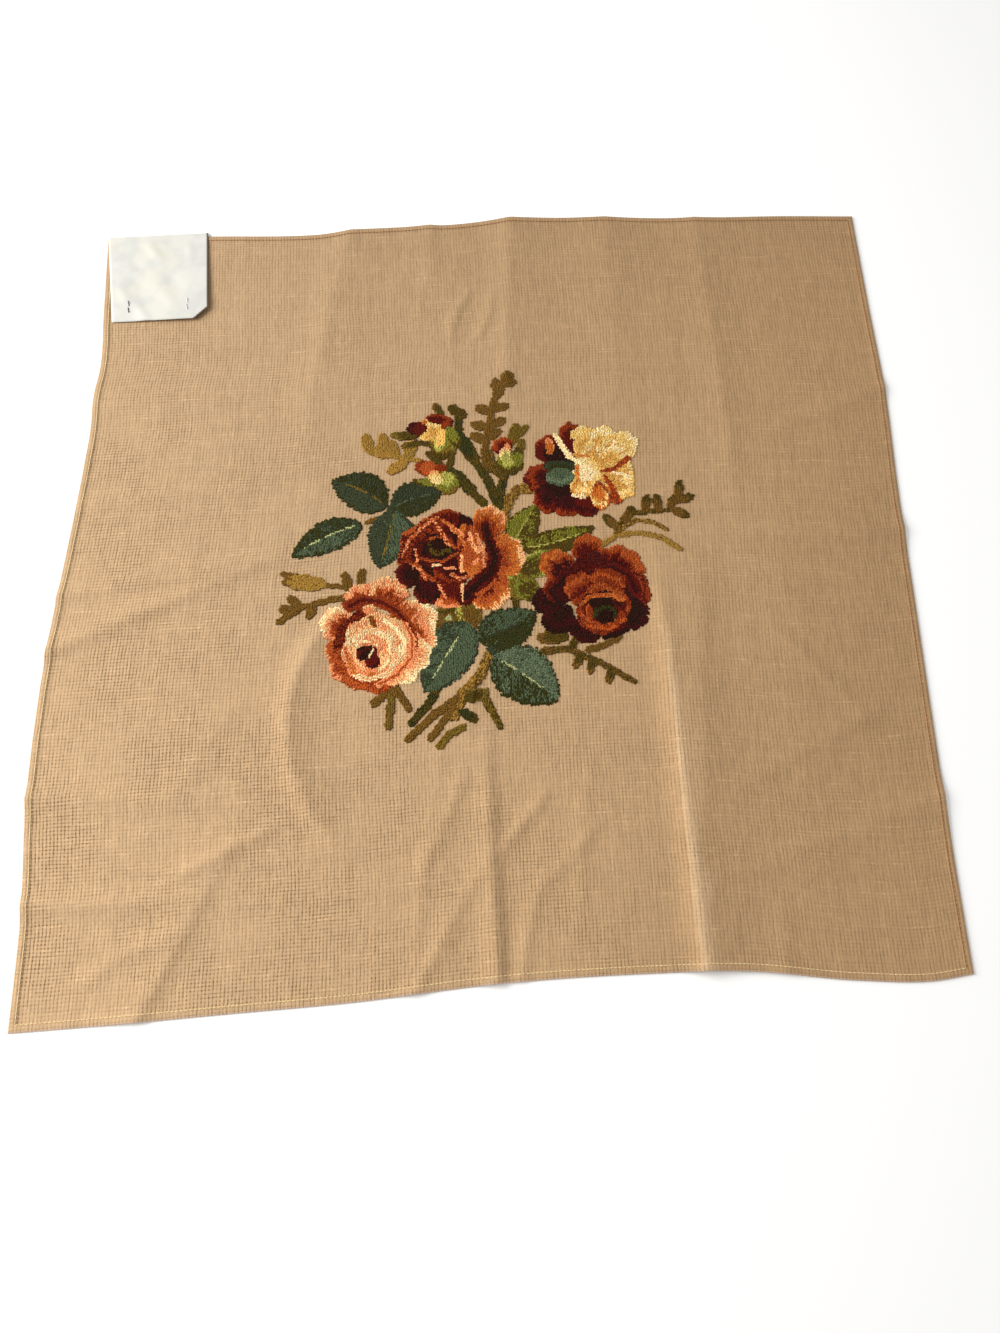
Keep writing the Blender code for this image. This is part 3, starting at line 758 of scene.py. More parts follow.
def join_strands(name, form, points, dyes, finish):
    """One mesh of many copies of a form; points is (copies, vertices, 3) and dyes is (copies, 3)."""
    copies, size = points.shape[:2]
    corners = [[vertex.index for vertex in face.verts] for face in form.faces]
    flat = np.array([index for face in corners for index in face])
    totals = np.array([len(face) for face in corners])
    girth = form.loops.layers.uv["strand"]
    maps = np.array([tuple(loop[girth].uv) for face in form.faces for loop in face.loops])
    form.free()
    mesh = bpy.data.meshes.new(name)
    mesh.vertices.add(copies * size)
    mesh.vertices.foreach_set("co", points.astype(np.float32).ravel())
    mesh.loops.add(copies * len(flat))
    loops = flat[None, :] + size * np.arange(copies)[:, None]
    mesh.loops.foreach_set("vertex_index", loops.astype(np.int32).ravel())
    mesh.polygons.add(copies * len(totals))
    starts = np.cumsum(np.tile(totals, copies)) - np.tile(totals, copies)
    mesh.polygons.foreach_set("loop_start", starts.astype(np.int32))
    mesh.update(calc_edges=True)
    offsets = np.random.default_rng(SEED + copies).uniform(0, 1, (copies, 1, 2))
    uv = mesh.uv_layers.new(name="strand")
    uv.data.foreach_set("uv", (maps[None] + offsets * 20).astype(np.float32).ravel())
    dye = mesh.color_attributes.new(name="dye", type="FLOAT_COLOR", domain="POINT")
    colours = np.concatenate([dyes, np.ones((copies, 1))], axis=1)
    dye.data.foreach_set("color", np.repeat(colours, size, axis=0).astype(np.float32).ravel())
    mesh.shade_smooth()
    mesh.validate()
    return add_object(name, mesh, finish)


def lay_strands(form, centre, run, wide, high, arch, dive, raise_by):
    """Bends copies of a strand over the cloth: each lies along its run, arched, with its ends dived in.
    The widths, heights and rises are one number for all, or one for each copy."""
    form.verts.index_update()
    t, aside, up = np.array([vertex.co for vertex in form.verts]).T
    wide, high, raise_by = (np.broadcast_to(size, len(centre)) for size in (wide, high, raise_by))
    length = np.linalg.norm(run, axis=-1, keepdims=True)
    forward = run / length
    sideways = np.cross([0.0, 0.0, 1.0], forward)
    sideways /= np.linalg.norm(sideways, axis=-1, keepdims=True)
    end = (2 * np.abs(t)) ** 2
    girth = np.sqrt(1 - 0.72 * end**2)
    lift = raise_by[:, None] + (arch * (1 - end) - dive * end**3)[None, :]
    points = centre[:, None, :] + forward[:, None, :] * (t[None, :, None] * length[:, None, :])
    points = points + sideways[:, None, :] * (aside * girth)[None, :, None] * wide[:, None, None]
    points[:, :, 2] += lift + (up * girth)[None, :] * high[:, None]
    return points


def linear(colour):
    """Red, green and blue from 0 to 255 as the linear values that a shader takes."""
    share = np.asarray(colour, float) / 255
    return np.where(share <= 0.04045, share / 12.92, ((share + 0.055) / 1.055) ** 2.4)


def pair_of(operation):
    """A method that takes the value first, and its reflection, which takes it second."""
    return (
        lambda value, other: value.math(operation, value, other),
        lambda value, other: value.math(operation, other, value),
    )


def of_one(operation):
    return lambda value: value.math(operation, value)


class Value:
    """A number that changes over a surface: the socket that carries it, with Python's arithmetic."""

    def __init__(self, graph, socket):
        self.graph = graph
        self.socket = socket

    def math(self, operation, *operands):
        node = self.graph.add("ShaderNodeMath", {"operation": operation}, dict(enumerate(operands)))
        return Value(self.graph, node.outputs[0])

    __add__, __radd__ = pair_of("ADD")
    __sub__, __rsub__ = pair_of("SUBTRACT")
    __mul__, __rmul__ = pair_of("MULTIPLY")
    __truediv__, __rtruediv__ = pair_of("DIVIDE")
    over = pair_of("GREATER_THAN")[0]
    larger = pair_of("MAXIMUM")[0]
    smaller = pair_of("MINIMUM")[0]
    __abs__ = of_one("ABSOLUTE")
    rounded = of_one("ROUND")
    root = of_one("SQRT")
    cosine = of_one("COSINE")
    sine = of_one("SINE")

    def eased(self, low, high):
        """0 below low, 1 above high, and smooth between."""
        node = self.graph.add(
            "ShaderNodeMapRange",
            {"interpolation_type": "SMOOTHSTEP"},
            {"Value": self, "From Min": low, "From Max": high},
        )
        return Value(self.graph, node.outputs["Result"])


class Finish:
    """A material being made: a Principled surface and the nodes in front of it."""

    def __init__(self, name):
        self.material = bpy.data.materials.new(name)
        self.material.use_nodes = True
        self.tree = self.material.node_tree
        self.surface = self.tree.nodes["Principled BSDF"]

    def add(self, kind, settings=None, sockets=None):
        """One node: its settings first, then the values or links of its sockets by name or number."""
        node = self.tree.nodes.new(kind)
        for setting, value in (settings or {}).items():
            setattr(node, setting, value)
        for socket, value in (sockets or {}).items():
            self.put(node.inputs[socket], value)
        return node

    def put(self, socket, value):
        source = value.socket if isinstance(value, Value) else value
        if isinstance(source, bpy.types.NodeSocket):
            self.tree.links.new(source, socket)
        else:
            socket.default_value = source

    def place(self):
        """Object coordinates."""
        return self.add("ShaderNodeTexCoord").outputs["Object"]

    def parts(self, vector):
        node = self.add("ShaderNodeSeparateXYZ", None, {0: vector})
        return [Value(self, socket) for socket in node.outputs]

    def vector(self, x, y, z=0.0):
        return self.add("ShaderNodeCombineXYZ", None, {"X": x, "Y": y, "Z": z}).outputs[0]

    def map(self, name):
        return self.parts(self.add("ShaderNodeUVMap", {"uv_map": name}).outputs[0])[:2]

    def noise(self, vector, scale, detail=2.0, roughness=0.5):
        sockets = {"Vector": vector, "Scale": scale, "Detail": detail, "Roughness": roughness}
        return Value(self, self.add("ShaderNodeTexNoise", None, sockets).outputs[0])

    def random(self, vector):
        return Value(self, self.add("ShaderNodeTexWhiteNoise", None, {"Vector": vector}).outputs["Value"])

    def mix(self, factor, first, second):
        """A colour between two, by a factor from 0 to 1."""
        node = self.add("ShaderNodeMix", {"data_type": "RGBA"}, {0: factor, 6: first, 7: second})
        return node.outputs[2]

    def shaded(self, colour, strength):
        """A colour made lighter or darker by a number."""
        colour = colour[:3] if isinstance(colour, tuple) else colour
        node = self.add("ShaderNodeVectorMath", {"operation": "SCALE"}, {0: colour, "Scale": strength})
        return node.outputs[0]

    def bump(self, height, distance, strength=1.0):
        sockets = {"Strength": strength, "Distance": distance, "Height": height}
        return self.add("ShaderNodeBump", None, sockets).outputs[0]

    def done(self, **sockets):
        for socket, value in sockets.items():
            self.put(self.surface.inputs[socket.replace("_", " ")], value)
        return self.material


def opaque(colour):
    return (*[float(part) for part in linear(colour)], 1.0)


PAIR = 0.135  # half the distance between the two threads of a pair, in meshes
THREAD = 0.155  # half of a thread's width, in meshes
OVER_UNDER = 0.26  # share of a thread's height by which it rises and dips
WEFT_SINK = 0.92  # height of the weft beside the warp's 1
STRAY = 0.9  # how far the threads wander, in meshes
FIBRE = (1.0, 4.0, 0.6)  # scale, detail and roughness of the slubs' noise
WANDER = (1.0, 3.0, 0.6)  # the same for what strays, gapes and puckers
HOLE_PAINTED_SHADE = (122, 88, 52)  # painted shade seen through an open hole
HEM_MESHES = 2.4  # width of the folded hem, in meshes
HEM_RIM = (206, 178, 158)  # the fluffy outer edge
FOLD_PAINTED_HIGHLIGHT = (238, 204, 162)  # painted highlight along the tops of the high folds
PAINTED_HIGHLIGHT_HEIGHTS = (0.0050, 0.0078)  # heights over the surface, in metres, over which the painted highlight comes in
NEAR_RIGHT_PAINTED_SHADE = 0.13  # painted shade: how much darker the near right quarter is
WEAVE_RELIEF = 0.0001  # height of a thread in the relief of the weave
PUCKER = 0.0010  # height of the small soft puckers
PAINTED_SHADE_TOWARDS_FAR = (1.05, 0.45)  # painted shade: how light the cloth is at its middle, and how much darker for each metre away


def canvas_threads(finish, u, v):
    """Height and shade of the slubby pairs of threads, over each other in plain weave."""
    column, row = u.rounded(), v.rounded()
    warp_gap = (abs(u - column) - PAIR) / THREAD
    weft_gap = (abs(v - row) - PAIR) / THREAD
    warp_wave = (column * math.pi).cosine() * (v * math.pi).cosine()
    weft_wave = (row * math.pi).cosine() * (u * math.pi).cosine()
    warp = (1 - warp_gap * warp_gap).root() * (1 - OVER_UNDER + OVER_UNDER * warp_wave)
    weft = (1 - weft_gap * weft_gap).root() * (WEFT_SINK - OVER_UNDER - OVER_UNDER * weft_wave)
    warp_number, weft_number = (u * 2).rounded(), (v * 2).rounded()
    warp_slub = finish.noise(finish.vector(warp_number * 7.3, v * 0.15), *FIBRE)
    weft_slub = finish.noise(finish.vector(u * 0.08, weft_number * 7.3, 40.0), *FIBRE)
    warp_shade = 0.72 + 0.10 * finish.random(finish.vector(warp_number, 3.0)) + 0.46 * warp_slub
    weft_shade = 0.80 + 0.06 * finish.random(finish.vector(7.0, weft_number)) + 0.28 * weft_slub
    weft_shade = weft_shade + 0.18 * weft_slub.eased(0.56, 0.72)
    return warp.larger(weft), weft_shade + (warp_shade - weft_shade) * warp.over(weft)


def canvas_openings(finish, u, v, loose, single):
    """Painted shade in the gaps between pairs, and how open each hole is."""
    split_number, bar_number = (u - 0.5).rounded(), (v - 0.5).rounded()
    split = finish.noise(finish.vector(split_number * 5.1, v * 0.22, 60.0), *WANDER).eased(0.34, 0.66)
    bar = finish.noise(finish.vector(u * 0.16, bar_number * 5.1, 80.0), *WANDER).eased(0.38, 0.70)
    # painted shade down the gaps between the warp pairs and across the bars between the weft pairs
    gaps = abs(u - u.rounded()).eased(0.26, 0.46) * (0.10 + 0.42 * split) * (0.50 + 0.50 * loose)
    bars = abs(v - v.rounded()).eased(0.28, 0.46) * (0.04 + 0.34 * bar) * (0.20 + 0.80 * loose)
    each = finish.random(finish.vector(split_number, bar_number))
    return gaps.larger(bars), (0.14 + single * (0.66 * loose - 0.05)) * (0.25 + 0.75 * each)


def canvas_finish(sheet):
    """Stiffened double-thread canvas, its holes half shut by size and fluff."""
    finish = Finish("double_thread_canvas")
    u, v = finish.map("weave")
    place = finish.place()
    x, y, z = finish.parts(place)
    inset = u.smaller(MESHES_ACROSS - u).smaller(v.smaller(MESHES_DEEP - v))
    single = inset.eased(HEM_MESHES - 0.4, HEM_MESHES)
    u = u + STRAY * (finish.noise(finish.vector(u * 0.10, v * 0.10), *WANDER) - 0.5)
    v = v + STRAY * (finish.noise(finish.vector(u * 0.10, v * 0.10, 30.0), *WANDER) - 0.5)
    height, shade = canvas_threads(finish, u, v)
    near_left = (x * -1.1 - y * 0.7).eased(-0.18, 0.42)
    loose = (0.25 + 0.75 * near_left) * (0.4 + 0.9 * finish.noise(place, 17.0, 3.0).eased(0.36, 0.66))
    gaps, opened = canvas_openings(finish, u, v, loose, single)
    # from the left colour to the right: partly the cloth's own tone, partly painted shade darker towards
    # the right
    aside = (x * (1 / WIDE) + 0.5 + 0.10 * (finish.noise(place, 5.0) - 0.5)).eased(-0.10, 1.10)
    thread = finish.mix(aside, opaque(sheet.colour_left[:]), opaque(sheet.colour_right[:]))
    # painted highlight: the tops of the high folds are painted paler
    thread = finish.mix(z.eased(*PAINTED_HIGHLIGHT_HEIGHTS) * 0.40, thread, opaque(FOLD_PAINTED_HIGHLIGHT))
    thread = finish.mix((1 - inset.eased(0.05, 0.50)) * 0.7, thread, opaque(HEM_RIM))
    # the cloth's own uneven tone, with painted shade darker towards the far side and over the near right
    # quarter
    tone_and_painted_shade = (0.93 + 0.14 * finish.noise(place, 62.0, 4.0, 0.6)) * (PAINTED_SHADE_TOWARDS_FAR[0] - PAINTED_SHADE_TOWARDS_FAR[1] * y)
    # painted shade over the near right quarter
    tone_and_painted_shade = tone_and_painted_shade * (1 - NEAR_RIGHT_PAINTED_SHADE * (x - y * 0.6).eased(0.16, 0.36))
    thread = finish.shaded(thread, shade * (1 - gaps) * tone_and_painted_shade)
    # painted shade: the darkness under the cloth, seen through each open hole
    hole = (1 - height.eased(0.02, 0.50)) * opened
    pucker = finish.noise(finish.vector(x * 90, y * 36), *WANDER)
    return finish.done(
        Base_Color=finish.mix(hole, thread, opaque(HOLE_PAINTED_SHADE)),
        Roughness=0.92,
        Normal=finish.bump(height * WEAVE_RELIEF + pucker * PUCKER, 1.0),
        Specular_IOR_Level=0.15,
    )


def wool_finish():
    """Tapestry wool: plied, hairy strands in the dye of each stitch."""
    finish = Finish("tapestry_wool")
    dye = finish.add("ShaderNodeAttribute", {"attribute_name": "dye"}).outputs["Color"]
    u, v = finish.map("strand")
    ply = ((u * 2.2 + v * 2.0) * math.tau).sine()
    hair = finish.noise(finish.vector(u * 6.0 + v * 3.0, v * 22.0), 1.0, 3.0, 0.6)
    # the ply term is painted shade in the grooves of the twist; the hair term is the fibres' own uneven
    # tone
    shade = 1.0 + 0.08 * ply + 0.40 * (hair - 0.5)
    return finish.done(
        Base_Color=finish.shaded(dye, shade),
        Roughness=0.95,
        Normal=finish.bump(ply * 0.4 + hair, 0.0002, 0.6),
        Specular_IOR_Level=0.1,
        Sheen_Weight=0.03,
        Sheen_Roughness=0.5,
    )


def thread_finish(name):
    """Cotton sewing thread, in the colour of each stitch."""
    finish = Finish(name)
    dye = finish.add("ShaderNodeAttribute", {"attribute_name": "dye"}).outputs["Color"]
    u, v = finish.map("strand")
    ply = ((u * 3.0 + v) * math.tau).sine()
    return finish.done(
        # the ply term in the colour is painted shade in the grooves of the twist
        Base_Color=finish.shaded(dye, 0.92 + 0.10 * ply),
        Roughness=0.7,
        Normal=finish.bump(ply, 0.0001, 0.5),
        Specular_IOR_Level=0.3,
    )


CARD_WARM = (212, 208, 190)
CARD_COOL = (210, 208, 201)
CARD_SPOT = (188, 190, 185)
CARD_EDGE_PAINTED_SHADOW = (98, 78, 60)  # painted shadow along the card's cut edges


def card_finish(label):
    """Soft matt card, mottled warm and cool, with fine fibres and a painted shadow along its right and
    clipped edges.
    """
    finish = Finish("label_card")
    place = finish.place()
    mottle = finish.noise(place, 55.0, 2.0)
    elsewhere = finish.add("ShaderNodeVectorMath", {"operation": "ADD"}, {0: place, 1: (3, 1, 2)})
    warm = finish.noise(elsewhere.outputs[0], 24.0)
    fibre = finish.noise(place, 1500.0, 4.0, 0.7)
    tint = finish.mix(warm.eased(0.35, 0.65), opaque(CARD_WARM), opaque(CARD_COOL))
    tint = finish.mix(mottle.eased(0.40, 0.70), tint, opaque(CARD_SPOT))
    base = finish.mix(0.5, opaque(label.colour[:]), tint)
    x, y, _ = finish.parts(place)
    corner_x, corner_y = LABEL_NEAR_RIGHT.x + ORIGIN_SHIFT[0], LABEL_NEAR_RIGHT.y + ORIGIN_SHIFT[1]
    run = y - corner_y
    in_from_right = corner_x + run * LABEL_SLOPE - x
    in_from_clip = (run - (x - corner_x) - label.clip) * math.sqrt(0.5)
    # painted shadow along the right and clipped edges, where the card stands off the canvas
    painted_edge_shadow = 1 - in_from_right.smaller(in_from_clip).eased(0.0006, 0.0014)
    base = finish.mix(painted_edge_shadow * 0.85, base, opaque(CARD_EDGE_PAINTED_SHADOW))
    return finish.done(
        Base_Color=finish.shaded(base, 0.97 + 0.06 * (fibre - 0.5)),
        Roughness=0.62 + 0.1 * mottle,
        Normal=finish.bump(fibre * 0.3 + mottle, 0.0003, 0.5),
        Specular_IOR_Level=0.35,
    )


def steel_finish(name, bright, dull, share):
    """Galvanised staple wire, with dull patches over this share of it."""
    finish = Finish(name)
    patch = finish.noise(finish.place(), 900.0, 3.0).eased(share - 0.1, share + 0.1)
    return finish.done(
        Base_Color=finish.mix(patch, opaque(dull), opaque(bright)),
        Metallic=0.5,
        Roughness=0.55 - 0.2 * patch,
        Normal=finish.bump(patch, 0.00005, 0.4),
    )


def floor_finish(stage):
    """Seamless matt white board with a barely visible tooth."""
    finish = Finish("pale_floor")
    tooth = finish.noise(finish.place(), 400.0, 3.0)
    base = finish.shaded(opaque(stage.floor_colour[:]), 0.995 + 0.01 * (tooth - 0.5))
    return finish.done(
        Base_Color=base,
        Roughness=0.9,
        Specular_IOR_Level=0.1,
        Emission_Color=(1.0, 1.0, 1.0, 1.0),
        Emission_Strength=0.07,
    )


def colour_setting(name, description, default):
    return FloatVectorProperty(name=name, description=description, default=default, size=3, min=0, max=255)


def number_setting(name, description, default, least=0, **kind):
    return FloatProperty(name=name, description=description, default=default, min=least, **kind)


def length_setting(name, description, default):
    return number_setting(name, description, default, unit="LENGTH", subtype="DISTANCE", precision=5)


class SheetSettings(bpy.types.PropertyGroup):
    """The hemmed canvas."""

    thickness: length_setting("Thickness", "Thickness of the single cloth", 0.0008)
    hem_width: length_setting("Hem width", "Width of the turned hem", 0.0060)
    hem_thickness: length_setting("Hem thickness", "Thickness of the folded hem", 0.0014)
    # the right colour is partly the thread's own tone and partly painted shade, darker towards the right
    colour_left: colour_setting("Left colour", "Thread colour at the left, 0 to 255", (187, 156, 120))
    colour_right: colour_setting("Right colour", "Thread colour at the right, 0 to 255", (182, 147, 107))


class WoolSettings(bpy.types.PropertyGroup):
    """The long and short stitches of the flower spray."""

    length: length_setting("Stitch length", "Length of a stitch as it lies", 0.0033)
    width: length_setting("Strand width", "Width of a stitch as it lies", 0.0020)
    height: length_setting("Strand height", "Height of the strand itself", 0.0008)
    unevenness: number_setting("Unevenness", "How unlike the stitches are", 0.12, max=1, subtype="FACTOR")
    seed: IntProperty(name="Seed", description="Starts the small random differences", default=SEED)


class HemSettings(bpy.types.PropertyGroup):
    """The lockstitch that holds the hem down."""

    inset: length_setting("Inset", "Distance of the stitches from the edge", 0.0050)
    pitch: length_setting("Stitch length", "Distance from one stitch to the next", 0.0031)
    width: length_setting("Thread width", "Thickness of the sewing thread", 0.0006)
    pale: colour_setting("Pale thread", "Thread of the near and left hems, 0 to 255", (240, 214, 160))
    # the far and right hems: the same thread as the near and left ones, in painted shade
    brown: colour_setting("Brown thread", "Thread of the far and right hems, 0 to 255", (158, 104, 66))


class LabelSettings(bpy.types.PropertyGroup):
    """The blank card and its staples."""

    thickness: length_setting("Card thickness", "Thickness of the card", 0.0004)
    clip: length_setting("Clipped corner", "Length cut from each side of the near right corner", 0.0115)
    colour: colour_setting("Card colour", "Colour of the card, 0 to 255", (204, 203, 197))
    wire: length_setting("Staple wire", "Thickness of the staple's wire", 0.0006)


class StageSettings(bpy.types.PropertyGroup):
    """Floor, light and camera."""

    floor_colour: colour_setting("Floor colour", "Colour of the floor, 0 to 255", (253, 253, 252))
    key_power: number_setting("Key light", "Power of the soft lamp", 34, unit="POWER")
    fill: number_setting("Fill light", "Strength of the light all round", 0.55)
    lens: number_setting("Lens", "Focal length on a 36 mm upright frame, in mm", 27.0, least=10)


FLOOR_REACH = 4.0  # half of the floor's side
FLOOR_GAP = 0.0002  # room between the floor and the surface that the cloth lies on
LAMP_SIZE = 1.1
LAMP_TINT = (1.0, 0.985, 0.96)
LAMP_AT = (-1.32, 0.25, 0.92)
CAMERA_AT = (-0.0007, -0.3180, 0.7091)
CAMERA_TURN = (18.348, -0.088, -2.027)  # in degrees


class BuildStage(bpy.types.Operator):
    """Pale floor, soft light and the camera over the panel"""

    bl_idname = "needlepoint.stage"
    bl_label = "Stage"

    def execute(self, context):
        stage = context.scene.needlepoint_stage
        form = bmesh.new()
        bmesh.ops.create_grid(form, x_segments=1, y_segments=1, size=FLOOR_REACH)
        bmesh.ops.translate(form, verts=form.verts, vec=(0, 0, -FLOOR_GAP))
        add_form("floor", form, floor_finish(stage))
        world = context.scene.world or bpy.data.worlds.new("studio")
        context.scene.world = world
        world.use_nodes = True
        backdrop = world.node_tree.nodes["Background"]
        backdrop.inputs["Color"].default_value = (1.0, 1.0, 1.0, 1.0)
        backdrop.inputs["Strength"].default_value = stage.fill
        lamp = bpy.data.lights.new("soft_lamp", "AREA")
        lamp.energy = stage.key_power
        lamp.size = LAMP_SIZE
        lamp.color = LAMP_TINT
        holder = bpy.data.objects.new("soft_lamp", lamp)
        holder.location = LAMP_AT
        holder.rotation_euler = (-holder.location).to_track_quat("-Z", "Y").to_euler()
        context.scene.collection.objects.link(holder)
        view = bpy.data.cameras.new("view")
        view.sensor_fit = "VERTICAL"
        view.sensor_height = 36.0
        view.lens = stage.lens
        view.clip_start = 0.01
        camera = bpy.data.objects.new("view", view)
        camera.location = CAMERA_AT
        camera.rotation_euler = [math.radians(turn) for turn in CAMERA_TURN]
        context.scene.collection.objects.link(camera)
        context.scene.camera = camera
        context.scene.view_settings.view_transform = "Standard"
        return {"FINISHED"}


class BuildCanvas(bpy.types.Operator):
    """The hemmed sheet of canvas in its folds"""

    bl_idname = "needlepoint.canvas"
    bl_label = "Canvas"

    def execute(self, context):
        sheet = context.scene.needlepoint_sheet
        columns = stations(WIDE, CELLS_ACROSS, sheet.hem_width)
        rows = stations(DEEP, CELLS_DEEP, sheet.hem_width)
        form = bmesh.new()
        bmesh.ops.create_grid(form, x_segments=len(columns) - 1, y_segments=len(rows) - 1, size=1.0)
        square = np.array([vertex.co[:2] for vertex in form.verts])
        across = columns[np.rint((square[:, 0] + 1) / 2 * (len(columns) - 1)).astype(int)]
        deep = rows[np.rint((square[:, 1] + 1) / 2 * (len(rows) - 1)).astype(int)]
        inset = np.minimum(np.minimum(across, 1 - across) * WIDE, np.minimum(deep, 1 - deep) * DEEP)
        single = sheet.thickness / sheet.hem_thickness
        lines = hem_lines(sheet.hem_width)
        layers = np.interp(inset, lines, [0.35, 0.78, 1.0, 1.0, 1.0, single * 1.25, single])
        raised = np.interp(inset, lines, [0.32, 0.10, 0.0, 0.0, 0.0, 0.0, 0.0]) * sheet.hem_thickness
        points = cloth_points(across, deep, raised)
        for vertex, point in zip(form.verts, points, strict=True):
            vertex.co = point
        canvas = add_form("hemmed_canvas", form, canvas_finish(sheet))
        weave = canvas.data.uv_layers.new(name="weave")
        corner = np.empty(len(canvas.data.loops), np.int32)
        canvas.data.loops.foreach_get("vertex_index", corner)
        meshes = np.stack([across * MESHES_ACROSS, deep * MESHES_DEEP], axis=-1)
        weave.data.foreach_set("uv", meshes[corner].astype(np.float32).ravel())
        group = canvas.vertex_groups.new(name="layers")
        for index, weight in enumerate(layers):
            group.add([index], float(weight), "REPLACE")
        shell = thicken(canvas, sheet.hem_thickness)
        shell.use_even_offset = False
        shell.vertex_group = "layers"
        ride(canvas, ["canvas"])
        return {"FINISHED"}


class BuildWool(bpy.types.Operator):
    """The flower spray, one wool stitch to each half mesh, with its backs under the cloth"""

    bl_idname = "needlepoint.wool"
    bl_label = "Wool"

    def execute(self, context):
        sheet, wool = context.scene.needlepoint_sheet, context.scene.needlepoint_wool
        column, row = np.meshgrid(np.arange(1, 2 * MESHES_ACROSS), np.arange(1, 2 * MESHES_DEEP))
        crossing = (column % 2 == 0) & (row % 2 == 0)
        x, y = lie(column.ravel() / (2 * MESHES_ACROSS), row.ravel() / (2 * MESHES_DEEP))
        chart = draw_spray(x * 1000, y * 1000)
        worked = chart.wool >= 0
        if not worked.any():
            raise RuntimeError("the flower spray has no stitches")
        x, y, numbers, lean, crossing = (
            values[worked] for values in (x, y, chart.wool, chart.lean, crossing.ravel())
        )
        rng = np.random.default_rng(wool.seed)
        count = len(numbers)
        x, y = x + rng.normal(0, SCATTER, count), y + rng.normal(0, SCATTER, count)
        lean = lean + rng.normal(0, 1.4 * wool.unevenness, count)
        reach = wool.length / 2 * (1 + rng.normal(0, wool.unevenness, count))
        step_x, step_y = reach * np.cos(lean), reach * np.sin(lean)
        top = sheet.thickness
        centre = on_cloth(x, y, top)
        run = on_cloth(x + step_x, y + step_y, top) - on_cloth(x - step_x, y - step_y, top)
        plump = 1 + rng.normal(0, 0.8 * wool.unevenness, (2, count))
        stacked = wool.height * (0.18 + 0.34 * rng.random(count))
        dyes = linear(np.array(list(WOOLS.values())))[numbers]
        dyes = dyes * (1 + rng.normal(0, 0.7 * wool.unevenness, (count, 1)))
        dyes = np.maximum(dyes * (1 + rng.normal(0, 0.25 * wool.unevenness, (count, 3))), 0.0)
        finish = wool_finish()
        for name, tones in FAMILIES.items():
            picked = np.isin(numbers, [WOOL_NAMES.index(tone) for tone in tones])
            form = strand_form(2, 3)
            points = lay_strands(
                form, centre[picked], run[picked], wool.width * plump[0, picked],
                wool.height * plump[1, picked], arch=0.0004, dive=0.0006, raise_by=stacked[picked],
            )
            ride(join_strands(name, form, points, dyes[picked], finish))
        form = strand_form(1, 3)
        points = lay_strands(
            form, centre[crossing] - [0, 0, top], run[crossing] * 1.4, BACK_WIDTH, BACK_HEIGHT,
            arch=0.0, dive=-0.0002, raise_by=-0.00012,
        )
        ride(join_strands("wool_backs", form, points, dyes[crossing], finish))
        return {"FINISHED"}


def hem_line(edge, inset, pitch):
    """Shares (across, deep) of the holes of the lockstitch along one edge."""
    size = WIDE if edge in ("near", "far") else DEEP
    off = inset / (DEEP if edge in ("near", "far") else WIDE)
    holes = round((size - 2 * inset) / pitch)
    along = np.linspace(inset / size, 1 - inset / size, holes + 1)
    fixed = np.full(along.shape, off if edge in ("near", "left") else 1 - off)
    return (along, fixed) if edge in ("near", "far") else (fixed, along)


class BuildHemStitching(bpy.types.Operator):
    """The lockstitch along the four hems, one piece for each"""

    bl_idname = "needlepoint.hem_stitching"
    bl_label = "Hem stitching"

    def execute(self, context):
        sheet, hem = context.scene.needlepoint_sheet, context.scene.needlepoint_hem
        finish = thread_finish("sewing_thread")
        rng = np.random.default_rng(SEED + 1)
        for edge in ("near", "far", "left", "right"):
            across, deep = hem_line(edge, hem.inset, hem.pitch)
            holes = cloth_points(across, deep, sheet.hem_thickness)
            centre, run = (holes[1:] + holes[:-1]) / 2, holes[1:] - holes[:-1]
            # the far and right hems get the same thread in painted shade
            dye = linear(hem.pale[:] if edge in ("near", "left") else hem.brown[:])
            dyes = dye * (1 + rng.normal(0, 0.06, (len(centre), 1)))
            form = strand_form(3, 6)
            points = lay_strands(
                form, centre, run, hem.width, hem.width * 0.8,
                arch=0.0001, dive=0.0002, raise_by=hem.width * 0.25,
            )
            ride(join_strands(f"hem_stitching_{edge}", form, points, dyes, finish))
        return {"FINISHED"}


# Soft creases of the card, in shares of its face: where each starts and ends, its rise and half its width
Crease = namedtuple("Crease", "from_x from_y to_x to_y rise width")
CARD_CREASES = [
    Crease(0.36, 0.95, 0.56, 0.66, 0.0010, 0.05),
    Crease(0.18, 0.62, 0.36, 0.50, 0.0007, 0.05),
    Crease(0.22, 0.24, 0.40, -0.05, 0.0009, 0.05),
    Crease(0.55, 0.60, 0.75, 0.30, -0.0006, 0.08),
    Crease(0.25, 0.80, 0.35, 0.10, -0.0007, 0.09),
    Crease(0.80, 0.95, 0.84, 0.62, 0.0005, 0.05),
    Crease(0.06, 0.44, 0.20, 0.20, 0.0006, 0.05),
    Crease(0.46, 0.40, 0.70, 0.12, 0.0006, 0.06),
    Crease(0.62, 0.88, 0.92, 0.80, 0.0005, 0.05),
    Crease(0.04, 0.86, 0.22, 0.90, -0.0005, 0.06),
]


def card_crease(crease, across, deep):
    run_x, run_y = crease.to_x - crease.from_x, crease.to_y - crease.from_y
    length = math.hypot(run_x, run_y)
    share = ((across - crease.from_x) * run_x + (deep - crease.from_y) * run_y) / length**2
    aside = ((across - crease.from_x) * run_y - (deep - crease.from_y) * run_x) / length
    fade = soft_step(1.2 - 2 * abs(share - 0.5)) if abs(share - 0.5) < 0.6 else 0.0
    return crease.rise * fade * math.exp(-((aside / crease.width) ** 2))


